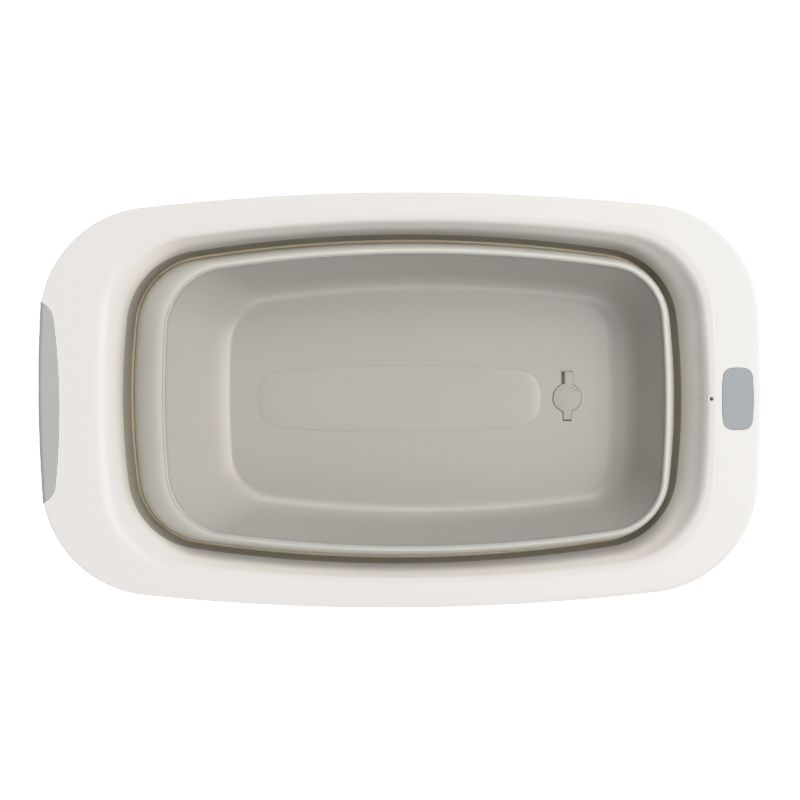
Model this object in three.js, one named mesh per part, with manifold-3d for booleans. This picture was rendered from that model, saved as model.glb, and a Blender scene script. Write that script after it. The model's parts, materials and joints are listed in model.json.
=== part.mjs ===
// Foldable baby bathtub, shown folded: a rim on four folding legs, a soft band and a tray with a drain.
// Millimetres, +Z up. The origin is under the middle of the rim, on the surface that the feet stand on.
// +X points to the foot end, where the drain plug is, and -X to the head end with its sloping back.
import * as THREE from "three";
import { mergeVertices } from "three/addons/utils/BufferGeometryUtils.js";
import Module from "manifold-3d";

const wasm = await Module();
wasm.setup();

// Sizes that several pieces share
const fit = { gap: 0.3, overrun: 4 };

// An outline is a rounded rectangle with bulging sides. Its reach is measured from the middle of the rim
// to the head end, the foot end and each long side. The arcs are the radii of its long sides and ends.
const rimEdge = {
  head: 410,
  foot: 410,
  side: 236,
  headCorner: 130,
  footCorner: 130,
  sideArc: 2660,
  endArc: 1750,
};

// Each run leads inwards from one outline to the next: how far it goes at the head, the foot and the sides,
// and the corners and arcs of the outline that it ends on.
const shelfRun = {
  head: 59.5,
  foot: 51.5,
  side: 24,
  headCorner: 106,
  footCorner: 106,
  sideArc: 2300,
  endArc: 1350,
};
const roundRun = {
  head: 19.5,
  foot: 8.5,
  side: 10,
  headCorner: 96,
  footCorner: 100,
  sideArc: 1900,
  endArc: 1050,
};
const wallRun = {
  head: 5,
  foot: 17.5,
  side: 8,
  headCorner: 89,
  footCorner: 92,
  sideArc: 1620,
  endArc: 790,
};
const cuffRun = {
  head: 6.7,
  foot: 5.2,
  side: 4.9,
  headCorner: 86,
  footCorner: 86,
  sideArc: 1610,
  endArc: 780,
};
const bandRun = {
  head: 48.3,
  foot: 19,
  side: 17.5,
  headCorner: 76,
  footCorner: 66,
  sideArc: 1450,
  endArc: 1100,
};
const trayRun = {
  head: 67,
  foot: 37,
  side: 34.6,
  headCorner: 58,
  footCorner: 54,
  sideArc: 1300,
  endArc: 1000,
};

const footPad = { height: 8, radius: 17, seat: 1, chamfer: 1, endInset: 43, sideInset: 40 };
const tray = { floor: 3, depth: 82, wall: 2.8, fillet: 24, ribDrop: 3, ribWidth: 3, ribInset: 14 };
const bead = { width: 6.4, height: 6 };
const band = { thickness: 2 };
const cuff = { height: 16.4, toe: 3, toeThickness: 2.6 };
const rim = {
  aboveLip: 15,
  wallDrop: 62,
  wall: 3,
  edgeRound: 10,
  innerRound: 14,
  skirt: 36,
  skirtDraft: 2,
};

const floorPad = {
  headInset: 33.5,
  plugGap: 14.7,
  side: 40,
  headCorner: 27,
  footCorner: 27,
  sideArc: 1600,
  endArc: 150,
  thickness: 1.5,
};
const drain = {
  fromFoot: 69.3,
  bore: 13,
  bossWall: 5.6,
  bossDrop: 3.6,
  barMargin: 3,
  seatDepth: 3,
  seatGap: 0.6,
};
const plug = {
  radius: 16.8,
  thickness: 2.6,
  stemGap: 0.4,
  stemTaper: 0.8,
  stemDrop: 2.6,
  strapWidth: 9.4,
  strapThickness: 2,
  strapGap: 0.5,
  sideSlot: 3.7,
  slotDepth: 5,
  hingeReach: 31,
  tabWidth: 12,
  tabTipWidth: 9,
  tabReach: 25,
  tabNotch: 1.6,
  anchorLength: 3,
};

const leg = {
  fromEnd: 120,
  rootRadius: 15,
  tipHalfWidth: 12,
  thickness: 12,
  headroom: 5,
  pocketDepth: 8.5,
  pocketWall: 3,
  pocketCount: 4,
  rootLength: 22,
};
const shoe = { thickness: 16, halfWidth: 14, length: 14, socket: 6, corner: 4, skirtGap: 2 };
const pin = { radius: 3.7, headRadius: 6.5, headLength: 2.4, tail: 1.4, skirtGap: 0.4 };
const ear = { thickness: 3, gap: 0.8, radius: 11 };
const rib = { thickness: 2.5, drop: 24, endFromAxis: 112, shoeGap: 38.2 };

const headGrip = {
  head: 60,
  foot: 24.5,
  side: 118,
  headCorner: 38,
  footCorner: 38,
  sideArc: 900,
  endArc: 860,
  thickness: 1.5,
  rise: 7,
};
const footLabel = {
  head: 19,
  foot: 19,
  side: 35.5,
  headCorner: 11,
  footCorner: 11,
  sideArc: 60,
  endArc: 260,
  edgeInset: 7.7,
  thickness: 1.5,
};
const hangHole = { radius: 2.3, shelfInset: 4.5 };
const slit = { length: 25, width: 1.4, depth: 0.8, fromAxis: 83 };

// Facets of each quarter of an outline, and of the round edges and small cylinders
const facets = { end: 2, corner: 6, side: 4, round: 4, fillet: 4, circle: 32, small: 16, shapeArc: 6 };

// Outlines that follow from the runs
function narrower(outline, run) {
  return {
    ...run,
    head: outline.head - run.head,
    foot: outline.foot - run.foot,
    side: outline.side - run.side,
  };
}
const shelfEdge = narrower(rimEdge, shelfRun);
const roundFoot = narrower(shelfEdge, roundRun);
const wallFoot = narrower(roundFoot, wallRun);
const crease = narrower(wallFoot, cuffRun);
const lip = narrower(crease, bandRun);
const floorEdge = narrower(lip, trayRun);

// Heights that follow from the sizes
const trayBottom = footPad.height;
const floorTop = trayBottom + tray.floor;
const lipTop = floorTop + tray.depth;
const trayEdgeTop = lipTop - bead.height;
const rimTop = lipTop + rim.aboveLip;
const wallFootZ = rimTop - rim.wallDrop;
const toeTop = wallFootZ - cuff.height;
const cuffBottom = toeTop - cuff.toeThickness;
// The soft band turns over as the rim is lifted, so the rim rises by twice the band's height.
const liftTravel = 2 * (trayEdgeTop - toeTop);

const outlineKeys = Object.keys(rimEdge);

// An outline that runs at a constant distance outside another one
function grown(outline, by) {
  const larger = {};
  for (const key of outlineKeys) {
    larger[key] = outline[key] + by;
  }
  return larger;
}

// An outline between two others
function between(first, second, share) {
  const made = {};
  for (const key of outlineKeys) {
    made[key] = first[key] + (second[key] - first[key]) * share;
  }
  return made;
}

// Where the corner circle sits, so that it is tangent to the arc of the long side and to the arc of the end
function cornerCentre(length, width, corner, sideArc, endArc) {
  const sideCentre = new THREE.Vector2(0, width - sideArc);
  const endCentre = new THREE.Vector2(length - endArc, 0);
  const sideReach = sideArc - corner;
  const endReach = endArc - corner;
  const across = endCentre.clone().sub(sideCentre);
  const apart = across.length();
  const along = (sideReach ** 2 - endReach ** 2 + apart ** 2) / (2 * apart);
  const off = Math.sqrt(sideReach ** 2 - along ** 2);
  const unit = across.divideScalar(apart);
  const centre = sideCentre.clone().addScaledVector(unit, along);
  centre.add(new THREE.Vector2(unit.y, -unit.x).multiplyScalar(off));
  return { centre, sideCentre, endCentre };
}

function arcPoints(centre, radius, from, to, count) {
  const points = [];
  for (let i = 0; i < count; i++) {
    const angle = from + ((to - from) * i) / count;
    points.push([centre.x + radius * Math.cos(angle), centre.y + radius * Math.sin(angle)]);
  }
  return points;
}

// A quarter of an outline, from the middle of its end to just before the middle of its long side
function quarter(length, width, corner, sideArc, endArc) {
  const { centre, sideCentre, endCentre } = cornerCentre(length, width, corner, sideArc, endArc);
  const endAngle = Math.atan2(centre.y - endCentre.y, centre.x - endCentre.x);
  const sideAngle = Math.atan2(centre.y - sideCentre.y, centre.x - sideCentre.x);
  return [
    ...arcPoints(endCentre, endArc, 0, endAngle, facets.end),
    ...arcPoints(centre, corner, endAngle, sideAngle, facets.corner),
    ...arcPoints(sideCentre, sideArc, sideAngle, Math.PI / 2, facets.side),
  ];
}

// The closed outline, anticlockwise from the middle of the foot end
function outlinePoints(outline) {
  const middle = (outline.foot - outline.head) / 2;
  const half = (outline.foot + outline.head) / 2;
  const { side, headCorner, footCorner, sideArc, endArc } = outline;
  const footQuarter = quarter(half, side, footCorner, sideArc, endArc);
  const headQuarter = quarter(half, side, headCorner, sideArc, endArc);
  const points = [
    ...footQuarter,
    [0, side],
    ...headQuarter.slice(1).reverse().map(([x, y]) => [-x, y]),
    ...headQuarter.map(([x, y]) => [-x, -y]),
    [0, -side],
    ...footQuarter.slice(1).reverse().map(([x, y]) => [x, -y]),
  ];
  return points.map(([x, y]) => [x + middle, y]);
}

// The half-width of an outline at a place along the tub, on its long side or on one of its corners
function sideAt(outline, x) {
  const middle = (outline.foot - outline.head) / 2;
  const half = (outline.foot + outline.head) / 2;
  const { side, headCorner, footCorner, sideArc, endArc } = outline;
  const corner = x < middle ? headCorner : footCorner;
  const { centre, sideCentre } = cornerCentre(half, side, corner, sideArc, endArc);
  const along = Math.abs(x - middle);
  const sideAngle = Math.atan2(centre.y - sideCentre.y, centre.x - sideCentre.x);
  if (along < sideArc * Math.cos(sideAngle)) {
    return side - sideArc + Math.sqrt(sideArc ** 2 - along ** 2);
  }
  return centre.y + Math.sqrt(corner ** 2 - (along - centre.x) ** 2);
}

function manifoldOf(positions, triangles) {
  return new wasm.Manifold(
    new wasm.Mesh({
      numProp: 3,
      vertProperties: new Float32Array(positions),
      triVerts: new Uint32Array(triangles),
    }),
  );
}

// A three.js geometry as a solid for joining and cutting
function solidOf(geometry) {
  const plain = geometry.clone();
  plain.deleteAttribute("normal");
  plain.deleteAttribute("uv");
  const merged = mergeVertices(plain);
  return manifoldOf(merged.attributes.position.array, merged.index.array);
}

function sheetTriangles(ringCount, size, closed) {
  const triangles = [];
  const last = closed ? ringCount : ringCount - 1;
  for (let i = 0; i < last; i++) {
    const here = i * size;
    const next = ((i + 1) % ringCount) * size;
    for (let j = 0; j < size; j++) {
      const k = (j + 1) % size;
      triangles.push(here + j, here + k, next + k, here + j, next + k, next + j);
    }
  }
  return triangles;
}

function ringPositions(stations) {
  return stations.flatMap(({ outline, z }) => outlinePoints(outline).flatMap(([x, y]) => [x, y, z]));
}

// A hollow ring: its section goes up on the outside, inwards over the top and down on the inside
function loopSolid(stations) {
  const size = outlinePoints(stations[0].outline).length;
  return manifoldOf(ringPositions(stations), sheetTriangles(stations.length, size, true));
}

// A bowl or block: from the middle of its underside outwards, up, and inwards to the middle of its upper face
function cappedSolid(stations) {
  const size = outlinePoints(stations[0].outline).length;
  const positions = ringPositions(stations);
  const triangles = sheetTriangles(stations.length, size, false);
  const bottom = positions.length / 3;
  const top = bottom + 1;
  const lastRing = (stations.length - 1) * size;
  positions.push(0, 0, stations[0].z, 0, 0, stations.at(-1).z);
  for (let j = 0; j < size; j++) {
    const k = (j + 1) % size;
    triangles.push(bottom, k, j, top, lastRing + j, lastRing + k);
  }
  return manifoldOf(positions, triangles);
}

// An upright block with an outline as its plan, moved along the tub
function outlineBlock(outline, bottom, top, x = 0) {
  return cappedSolid([
    { outline, z: bottom },
    { outline, z: top },
  ]).translate([x, 0, 0]);
}

function box(sizeX, sizeY, sizeZ, x, y, z) {
  return solidOf(new THREE.BoxGeometry(sizeX, sizeY, sizeZ).translate(x, y, z));
}

// An upright cylinder or cone between two heights
function upright(bottomRadius, topRadius, bottom, top, x, y, sides = facets.circle) {
  const geometry = new THREE.CylinderGeometry(topRadius, bottomRadius, top - bottom, sides);
  geometry.rotateX(Math.PI / 2).translate(x, y, (bottom + top) / 2);
  return solidOf(geometry);
}

// A cylinder along Y
function crosswise(radius, from, to) {
  const geometry = new THREE.CylinderGeometry(radius, radius, to - from, facets.small);
  return solidOf(geometry.translate(0, (from + to) / 2, 0));
}

// A plan shape drawn in X and Y, extruded upwards
function uprightShape(shape, bottom, top) {
  const geometry = new THREE.ExtrudeGeometry(shape, {
    depth: top - bottom,
    bevelEnabled: false,
    curveSegments: facets.shapeArc,
  });
  return solidOf(geometry.translate(0, 0, bottom));
}

// A shape drawn in X and Z, extruded along Y and centred on it
function crosswiseShape(shape, thickness) {
  const geometry = new THREE.ExtrudeGeometry(shape, {
    depth: thickness,
    bevelEnabled: false,
    curveSegments: facets.shapeArc,
  });
  geometry.rotateX(Math.PI / 2).translate(0, thickness / 2, 0);
  return solidOf(geometry);
}

const colours = {
  white: { color: 0xe9e6e2, roughness: 0.42 },
  tray: { color: 0xb9b5ad, roughness: 0.38 },
  soft: { color: 0xb4b1a8, roughness: 0.6 },
  grip: { color: 0xa9adaf, roughness: 0.7 },
  leg: { color: 0xe4e1dd, roughness: 0.45 },
};
const materials = {};
for (const [name, look] of Object.entries(colours)) {
  materials[name] = new THREE.MeshStandardMaterial({ ...look, metalness: 0 });
}

// A solid as a named mesh
function node(name, solid, material) {
  const made = solid.getMesh();
  const geometry = new THREE.BufferGeometry();
  geometry.setAttribute("position", new THREE.BufferAttribute(new Float32Array(made.vertProperties), 3));
  geometry.setIndex(new THREE.BufferAttribute(made.triVerts, 1));
  geometry.computeVertexNormals();
  const mesh = new THREE.Mesh(geometry, material);
  mesh.name = name;
  return mesh;
}

// The rim's outer face and round edge, drawn in by a distance, from the bottom of the skirt to the flat shelf
function rimOuterStations(inward) {
  const stations = [
    { outline: grown(rimEdge, -rim.skirtDraft - inward), z: rimTop - rim.skirt },
    { outline: grown(rimEdge, -inward), z: rimTop - rim.edgeRound },
  ];
  const radius = rim.edgeRound - inward;
  for (let i = 1; i <= facets.round; i++) {
    const angle = ((Math.PI / 2) * i) / facets.round;
    stations.push({
      outline: grown(rimEdge, -rim.edgeRound + radius * Math.cos(angle)),
      z: rimTop - rim.edgeRound + radius * Math.sin(angle),
    });
  }
  return stations;
}

// The rim's inner face from the shelf down to the foot of the wall: a soft bend, and then a straight slope.
// The bend is a quadratic curve whose middle point lies on the slope's own line, level with the shelf.
const bendMiddle = between(roundFoot, wallFoot, -rim.innerRound / (rim.wallDrop - rim.innerRound));
function rimInnerStations(outward) {
  const stations = [];
  for (let i = 0; i <= facets.round; i++) {
    const t = i / facets.round;
    const first = between(shelfEdge, bendMiddle, t);
    const second = between(bendMiddle, roundFoot, t);
    stations.push({
      outline: grown(between(first, second, t), outward * t),
      z: rimTop - rim.innerRound * t * t - outward * (1 - t),
    });
  }
  stations.push({ outline: grown(wallFoot, outward), z: wallFootZ });
  return stations;
}

// A block that fills the rim's outer form, drawn in by a distance
function rimCore(inward) {
  return cappedSolid(rimOuterStations(inward));
}

// A pad let into the rim's surface: the pad itself, and the pocket that takes it
function rimInlay(plan, widerPlan, thickness) {
  const pad = plan.intersect(rimCore(0)).subtract(rimCore(thickness));
  const pocket = widerPlan.subtract(rimCore(thickness + fit.gap));
  return { pad, pocket };
}

function headGripPlan(extra) {
  const bottom = rimTop - rim.skirt + headGrip.rise - extra;
  return outlineBlock(grown(headGrip, extra), bottom, rimTop + fit.overrun, -rimEdge.head);
}

function footLabelPlan(extra) {
  const x = rimEdge.foot - footLabel.edgeInset - footLabel.foot;
  const bottom = rimTop - rim.edgeRound - extra;
  return outlineBlock(grown(footLabel, extra), bottom, rimTop + fit.overrun, x);
}

const legAxisZ = rimTop - rim.wall - leg.headroom - leg.rootRadius;
const legReach = legAxisZ + liftTravel;

// How far the pin's tail and head reach from the middle of the leg
const pinSpan = leg.thickness / 2 + ear.gap + ear.thickness;
const pinTail = pinSpan + pin.tail;
const pinHead = pinSpan + fit.gap + pin.headLength;

// Where each leg's hinge sits, and which way the folded leg lies under the rim's long side. The pin's tail
// is set off from the skirt at its own height, and the shoe from the skirt's lower edge.
function legPlace({ end, side }) {
  const hingeX = (end < 0 ? rimEdge.head : rimEdge.foot) - leg.fromEnd;
  const tipX = hingeX - legReach;
  const draftShare = (rimTop - rim.edgeRound - legAxisZ) / (rim.skirt - rim.edgeRound);
  const pinInset = rim.skirtDraft * draftShare + rim.wall + pin.skirtGap + pinTail;
  const shoeInset = rim.skirtDraft + rim.wall + shoe.skirtGap + shoe.thickness / 2;
  const hingeY = sideAt(rimEdge, end * (hingeX + pin.radius)) - pinInset;
  const tipY = sideAt(rimEdge, end * tipX) - shoeInset;
  const angle = Math.atan2(side * (tipY - hingeY), end * (tipX - hingeX));
  return { x: end * hingeX, y: side * hingeY, angle };
}

const legCorners = [
  { name: "head_left", end: -1, side: 1 },
  { name: "head_right", end: -1, side: -1 },
  { name: "foot_left", end: 1, side: 1 },
  { name: "foot_right", end: 1, side: -1 },
];

function turned(solid, place) {
  return solid.rotate([0, 0, (place.angle * 180) / Math.PI]).translate([place.x, place.y, 0]);
}

// The two ears that hold a leg's pin, hanging from the underside of the shelf
function earPair() {
  const rise = rimTop - rim.wall / 2 - legAxisZ;
  const shape = new THREE.Shape();
  shape.moveTo(ear.radius, rise);
  shape.lineTo(-ear.radius, rise);
  shape.lineTo(-ear.radius, 0);
  shape.absarc(0, 0, ear.radius, Math.PI, 2 * Math.PI, false);
  const bore = new THREE.Path();
  bore.absarc(0, 0, pin.radius + fit.gap, 0, 2 * Math.PI, true);
  shape.holes.push(bore);
  const plate = crosswiseShape(shape, ear.thickness).translate([0, 0, legAxisZ]);
  const offset = leg.thickness / 2 + ear.gap + ear.thickness / 2;
  return plate.translate([0, offset, 0]).add(plate.translate([0, -offset, 0]));
}

// The hollow between the rim's wall and its skirt, which the ribs cross
function channelSpace() {
  const middle = rim.wall / 2;
  const inner = cappedSolid([
    { outline: grown(wallFoot, middle), z: wallFootZ - fit.overrun },
    ...rimInnerStations(middle).reverse(),
    { outline: shelfEdge, z: rimTop + fit.overrun },
  ]);
  return rimCore(middle).subtract(inner);
}

// The ribs across the underside of the rim: two at each end, and two at each side between the folded legs.
// Those at the sides stand clear of the shoes of the folded legs.
function channelRibs() {
  const space = channelSpace();
  const middleZ = rimTop - rim.wall / 2 - rib.drop / 2;
  const sideWidth = rimEdge.side - wallFoot.side;
  const ribs = [];
  for (const first of [-1, 1]) {
    const inner = first < 0 ? wallFoot.head : wallFoot.foot;
    const outer = first < 0 ? rimEdge.head : rimEdge.foot;
    const endX = (first * (outer + inner)) / 2;
    const sideX = first * (outer - leg.fromEnd - legReach - rib.shoeGap);
    for (const second of [-1, 1]) {
      const sideY = (second * (rimEdge.side + wallFoot.side)) / 2;
      ribs.push(box(outer - inner, rib.thickness, rib.drop, endX, second * rib.endFromAxis, middleZ));
      ribs.push(box(rib.thickness, sideWidth, rib.drop, sideX, sideY, middleZ));
    }
  }
  return ribs.map((one) => one.intersect(space));
}

function rimShell(headInlay, footInlay) {
  const outside = [...rimOuterStations(0), ...rimInnerStations(0)];
  const inside = [...rimOuterStations(rim.wall), ...rimInnerStations(rim.wall)];
  let shell = loopSolid([...outside, ...inside.reverse()]);
  for (const one of channelRibs()) {
    shell = shell.add(one);
  }
  const room = rimCore(rim.wall / 2);
  for (const corner of legCorners) {
    shell = shell.add(turned(earPair(), legPlace(corner)).intersect(room));
  }
  shell = shell.subtract(headInlay.pocket).subtract(footInlay.pocket);
  const holeX = shelfEdge.foot - hangHole.shelfInset;
  const { radius } = hangHole;
  shell = shell.subtract(upright(radius, radius, legAxisZ, rimTop + fit.overrun, holeX, 0, facets.small));
  for (const side of [-1, 1]) {
    const y = side * slit.fromAxis;
    shell = shell.subtract(box(slit.width, slit.length, 2 * slit.depth, shelfEdge.foot, y, rimTop));
  }
  return shell;
}

// The soft cuff on the foot of the rim's wall, with the toe that the folding band turns on
function cuffSolid() {
  return loopSolid([
    { outline: grown(crease, -cuff.toe), z: cuffBottom },
    { outline: grown(crease, rim.wall), z: cuffBottom },
    { outline: grown(wallFoot, rim.wall), z: wallFootZ },
    { outline: wallFoot, z: wallFootZ },
    { outline: crease, z: toeTop },
    { outline: grown(crease, -cuff.toe), z: toeTop },
  ]);
}

// The folding band at rest: it rises from the toe to the tray's lip, steeply first and then over a shoulder
const bandShares = [0, 0.1, 0.25, 0.48, 0.74, 1];
const bandShoulderPower = 0.7;
function bandSolid() {
  const start = grown(crease, -cuff.toe - fit.gap);
  const end = grown(lip, band.thickness + fit.gap);
  const bottom = cuffBottom + fit.gap;
  const top = trayEdgeTop - fit.gap;
  const outside = bandShares.map((share) => ({
    outline: between(start, end, share),
    z: bottom + (top - bottom) * Math.sin((share * Math.PI) / 2) ** bandShoulderPower,
  }));
  const inside = outside.map(({ outline, z }, i) => ({
    outline: grown(outline, -band.thickness),
    z: i === 0 || i === outside.length - 1 ? z : z - band.thickness / 3,
  }));
  return loopSolid([...outside, ...inside.reverse()]);
}

// The round soft bead on the tray's lip, over the edge of the tray and the edge of the band
function beadSolid() {
  const half = bead.width / 2;
  const stations = [];
  for (let i = 0; i <= 2 * facets.round; i++) {
    const angle = (Math.PI * i) / (2 * facets.round);
    stations.push({
      outline: grown(lip, half * Math.cos(angle)),
      z: trayEdgeTop + bead.height - half + half * Math.sin(angle),
    });
  }
  return loopSolid([
    { outline: grown(lip, half), z: trayEdgeTop },
    ...stations,
    { outline: grown(lip, -half), z: trayEdgeTop },
  ]);
}

// The tray's wet face from the lip down to the floor, drawn outwards by a distance for its dry face.
// The fillet is a quadratic curve from the sloping wall to the floor. The wall's own line meets the floor
// at the corner share of the way from the lip's outline to the floor's.
const cornerShare = 0.86;
function trayFaceStations(outward) {
  const top = grown(lip, outward - tray.wall);
  const filletShare = 1 - tray.fillet / (trayEdgeTop - floorTop);
  const stations = [{ outline: top, z: trayEdgeTop }];
  for (let i = 0; i <= facets.fillet; i++) {
    const t = i / facets.fillet;
    const share = cornerShare * ((1 - t) ** 2 * filletShare + 2 * t * (1 - t)) + t * t;
    stations.push({
      outline: grown(between(grown(lip, -tray.wall), floorEdge, share), outward * (1 - t)),
      z: floorTop + (1 - t) ** 2 * tray.fillet - (outward * t * tray.floor) / tray.wall,
    });
  }
  return stations;
}

function traySolid() {
  const wet = trayFaceStations(0);
  const dry = trayFaceStations(tray.wall).reverse();
  let shell = cappedSolid([...dry, ...wet]);
  const ribLine = grown(floorEdge, -tray.ribInset);
  shell = shell.add(
    loopSolid([
      { outline: ribLine, z: trayBottom - tray.ribDrop },
      { outline: ribLine, z: trayBottom + tray.floor / 2 },
      { outline: grown(ribLine, -tray.ribWidth), z: trayBottom + tray.floor / 2 },
      { outline: grown(ribLine, -tray.ribWidth), z: trayBottom - tray.ribDrop },
    ]),
  );
  shell = shell.add(drainBoss());
  shell = shell.subtract(plugPocket());
  const padBottom = floorTop - floorPad.thickness;
  shell = shell.subtract(outlineBlock(grown(floorPadPlan, fit.gap), padBottom, floorTop + fit.overrun));
  const socketRadius = footPad.radius + fit.gap;
  const socketTop = trayBottom + footPad.seat;
  for (const { x, y } of footPadPlaces()) {
    shell = shell.subtract(upright(socketRadius, socketRadius, trayBottom - fit.overrun, socketTop, x, y));
  }
  return shell;
}

const drainX = floorEdge.foot - drain.fromFoot;
const seatZ = floorTop - drain.seatDepth;
const seatRadius = plug.radius + drain.seatGap;

// The strap lies to one side in its recess, and a deeper slot runs along its other side
const strapSlot = plug.strapGap + plug.strapWidth + drain.seatGap + plug.sideSlot;
const strapX = drainX + strapSlot / 2 - plug.strapGap - plug.strapWidth / 2;

// The plan of the long pad in the floor, from near the head end to near the plug
const floorPadPlan = {
  ...floorPad,
  head: floorEdge.head - floorPad.headInset,
  foot: drainX - plug.radius - floorPad.plugGap,
};

// The thick boss round the drain, which also backs the strap's slot and the finger notch
function drainBoss() {
  const bottom = trayBottom - drain.bossDrop;
  const top = trayBottom + tray.floor / 2;
  const length = plug.hingeReach + plug.anchorLength + plug.tabReach + 2 * drain.barMargin;
  const middle = (plug.hingeReach + plug.anchorLength - plug.tabReach) / 2;
  const bar = box(strapSlot + 2 * tray.wall, length, top - bottom, drainX, middle, (top + bottom) / 2);
  const radius = seatRadius + drain.bossWall;
  return upright(radius, radius, bottom, top, drainX, 0).add(bar);
}

// The recess that takes the plug, its strap and its finger tab, with the drain hole in the middle
function plugPocket() {
  const top = floorTop + fit.overrun;
  const slotEnd = plug.hingeReach + plug.anchorLength + fit.gap;
  const slotHigh = box(strapSlot, slotEnd, top - seatZ, drainX, slotEnd / 2, (top + seatZ) / 2);
  const slotFloor = floorTop - plug.slotDepth;
  const slotStart = Math.sqrt(seatRadius ** 2 - (strapSlot / 2) ** 2);
  const deepSlot = box(
    plug.sideSlot,
    slotEnd - slotStart,
    top - slotFloor,
    drainX - strapSlot / 2 + plug.sideSlot / 2,
    (slotEnd + slotStart) / 2,
    (top + slotFloor) / 2,
  );
  const notchWidth = plug.tabWidth + 2 * drain.seatGap;
  const notchEnd = plug.tabReach + plug.tabNotch;
  const notch = box(notchWidth, notchEnd, top - seatZ, drainX, -notchEnd / 2, (top + seatZ) / 2);
  return upright(seatRadius, seatRadius, seatZ, top, drainX, 0)
    .add(upright(drain.bore, drain.bore, trayBottom - drain.bossDrop - fit.overrun, top, drainX, 0))
    .add(slotHigh)
    .add(deepSlot)
    .add(notch);
}

// The plug: a disc with a tapered stem, a strap to its hinge and a finger tab opposite
function plugSolid() {
  const top = seatZ + plug.thickness;
  const strapBottom = top - plug.strapThickness;
  const middleZ = top - plug.strapThickness / 2;
  const strapY = plug.hingeReach / 2;
  const strap = box(plug.strapWidth, plug.hingeReach, plug.strapThickness, strapX, strapY, middleZ);
  const knuckle = new THREE.CylinderGeometry(
    plug.strapThickness / 2,
    plug.strapThickness / 2,
    plug.strapWidth,
    facets.small,
  );
  knuckle.rotateZ(Math.PI / 2).translate(strapX, plug.hingeReach, middleZ);
  const tab = new THREE.Shape();
  tab.moveTo(drainX - plug.tabWidth / 2, 0);
  tab.lineTo(drainX - plug.tabTipWidth / 2, -plug.tabReach);
  tab.lineTo(drainX + plug.tabTipWidth / 2, -plug.tabReach);
  tab.lineTo(drainX + plug.tabWidth / 2, 0);
  const stemTop = drain.bore - plug.stemGap;
  const stemFoot = stemTop - plug.stemTaper;
  return upright(plug.radius, plug.radius, seatZ, top, drainX, 0)
    .add(upright(stemFoot, stemTop, seatZ - plug.stemDrop, seatZ + plug.thickness / 2, drainX, 0))
    .add(strap)
    .add(solidOf(knuckle))
    .add(uprightShape(tab, strapBottom, top));
}

// The strap's fixed end, pressed into the end of its slot
function anchorSolid() {
  const start = plug.hingeReach + plug.strapThickness / 2 + fit.gap;
  const end = plug.hingeReach + plug.anchorLength;
  const top = seatZ + plug.thickness;
  return box(plug.strapWidth, end - start, top - seatZ, strapX, (start + end) / 2, (top + seatZ) / 2);
}

// The four soft feet under the tray, set in from the ends and sides of its floor
function footPadPlaces() {
  const places = [];
  for (const end of [-1, 1]) {
    for (const side of [-1, 1]) {
      const reach = end < 0 ? floorEdge.head : floorEdge.foot;
      places.push({
        name: `base_pad_${end < 0 ? "head" : "foot"}_${side > 0 ? "left" : "right"}`,
        x: end * (reach - footPad.endInset),
        y: side * (floorEdge.side - footPad.sideInset),
      });
    }
  }
  return places;
}

// A foot is a disc, cut by a steep cone for its chamfered lower edge
function footPadSolid({ x, y }) {
  const { radius, chamfer } = footPad;
  const top = footPad.height + footPad.seat;
  const cone = upright(radius - chamfer, radius - chamfer + top, 0, top, x, y);
  return upright(radius, radius, 0, top, x, y).intersect(cone);
}

// A leg in its own frame: the hinge is at the origin, and the folded leg lies along +X
function legSolid(outerSide) {
  const length = legReach - shoe.length + shoe.socket - fit.gap;
  const shape = new THREE.Shape();
  shape.moveTo(0, -leg.rootRadius);
  shape.lineTo(length, -leg.tipHalfWidth);
  shape.lineTo(length, leg.tipHalfWidth);
  shape.lineTo(0, leg.rootRadius);
  shape.absarc(0, 0, leg.rootRadius, Math.PI / 2, (3 * Math.PI) / 2, false);
  const bore = new THREE.Path();
  bore.absarc(0, 0, pin.radius + fit.gap, 0, 2 * Math.PI, true);
  shape.holes.push(bore);
  let solid = crosswiseShape(shape, leg.thickness);
  const from = leg.rootLength;
  const to = legReach - shoe.length - leg.pocketWall;
  const pitch = (to - from) / leg.pocketCount;
  const faceY = outerSide * (leg.thickness / 2);
  const halfWidth = leg.tipHalfWidth - leg.pocketWall;
  for (let i = 0; i < leg.pocketCount; i++) {
    const start = from + i * pitch + leg.pocketWall / 2;
    const end = from + (i + 1) * pitch - leg.pocketWall / 2;
    solid = solid.subtract(
      box(end - start, 2 * leg.pocketDepth, 2 * halfWidth, (start + end) / 2, faceY, 0),
    );
  }
  return solid;
}

// The soft shoe on the leg's tip, with a socket for the leg
function shoeSolid() {
  const start = legReach - shoe.length;
  const { halfWidth, corner } = shoe;
  const shape = new THREE.Shape();
  shape.moveTo(start, -halfWidth);
  shape.lineTo(legReach - corner, -halfWidth);
  shape.absarc(legReach - corner, corner - halfWidth, corner, -Math.PI / 2, 0, false);
  shape.absarc(legReach - corner, halfWidth - corner, corner, 0, Math.PI / 2, false);
  shape.lineTo(start, halfWidth);
  const socket = box(
    2 * shoe.socket,
    leg.thickness + 2 * fit.gap,
    2 * (leg.tipHalfWidth + 2 * fit.gap),
    start,
    0,
    0,
  );
  return crosswiseShape(shape, shoe.thickness).subtract(socket);
}

// The pin through a leg and its two ears, with its head on the inner side
function pinSolid(outerSide) {
  const inner = -outerSide;
  const ends = [inner * pinHead, outerSide * pinTail].sort((a, b) => a - b);
  const headEnds = [inner * pinHead, inner * (pinHead - pin.headLength)].sort((a, b) => a - b);
  return crosswise(pin.radius, ends[0], ends[1]).add(crosswise(pin.headRadius, headEnds[0], headEnds[1]));
}

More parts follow.
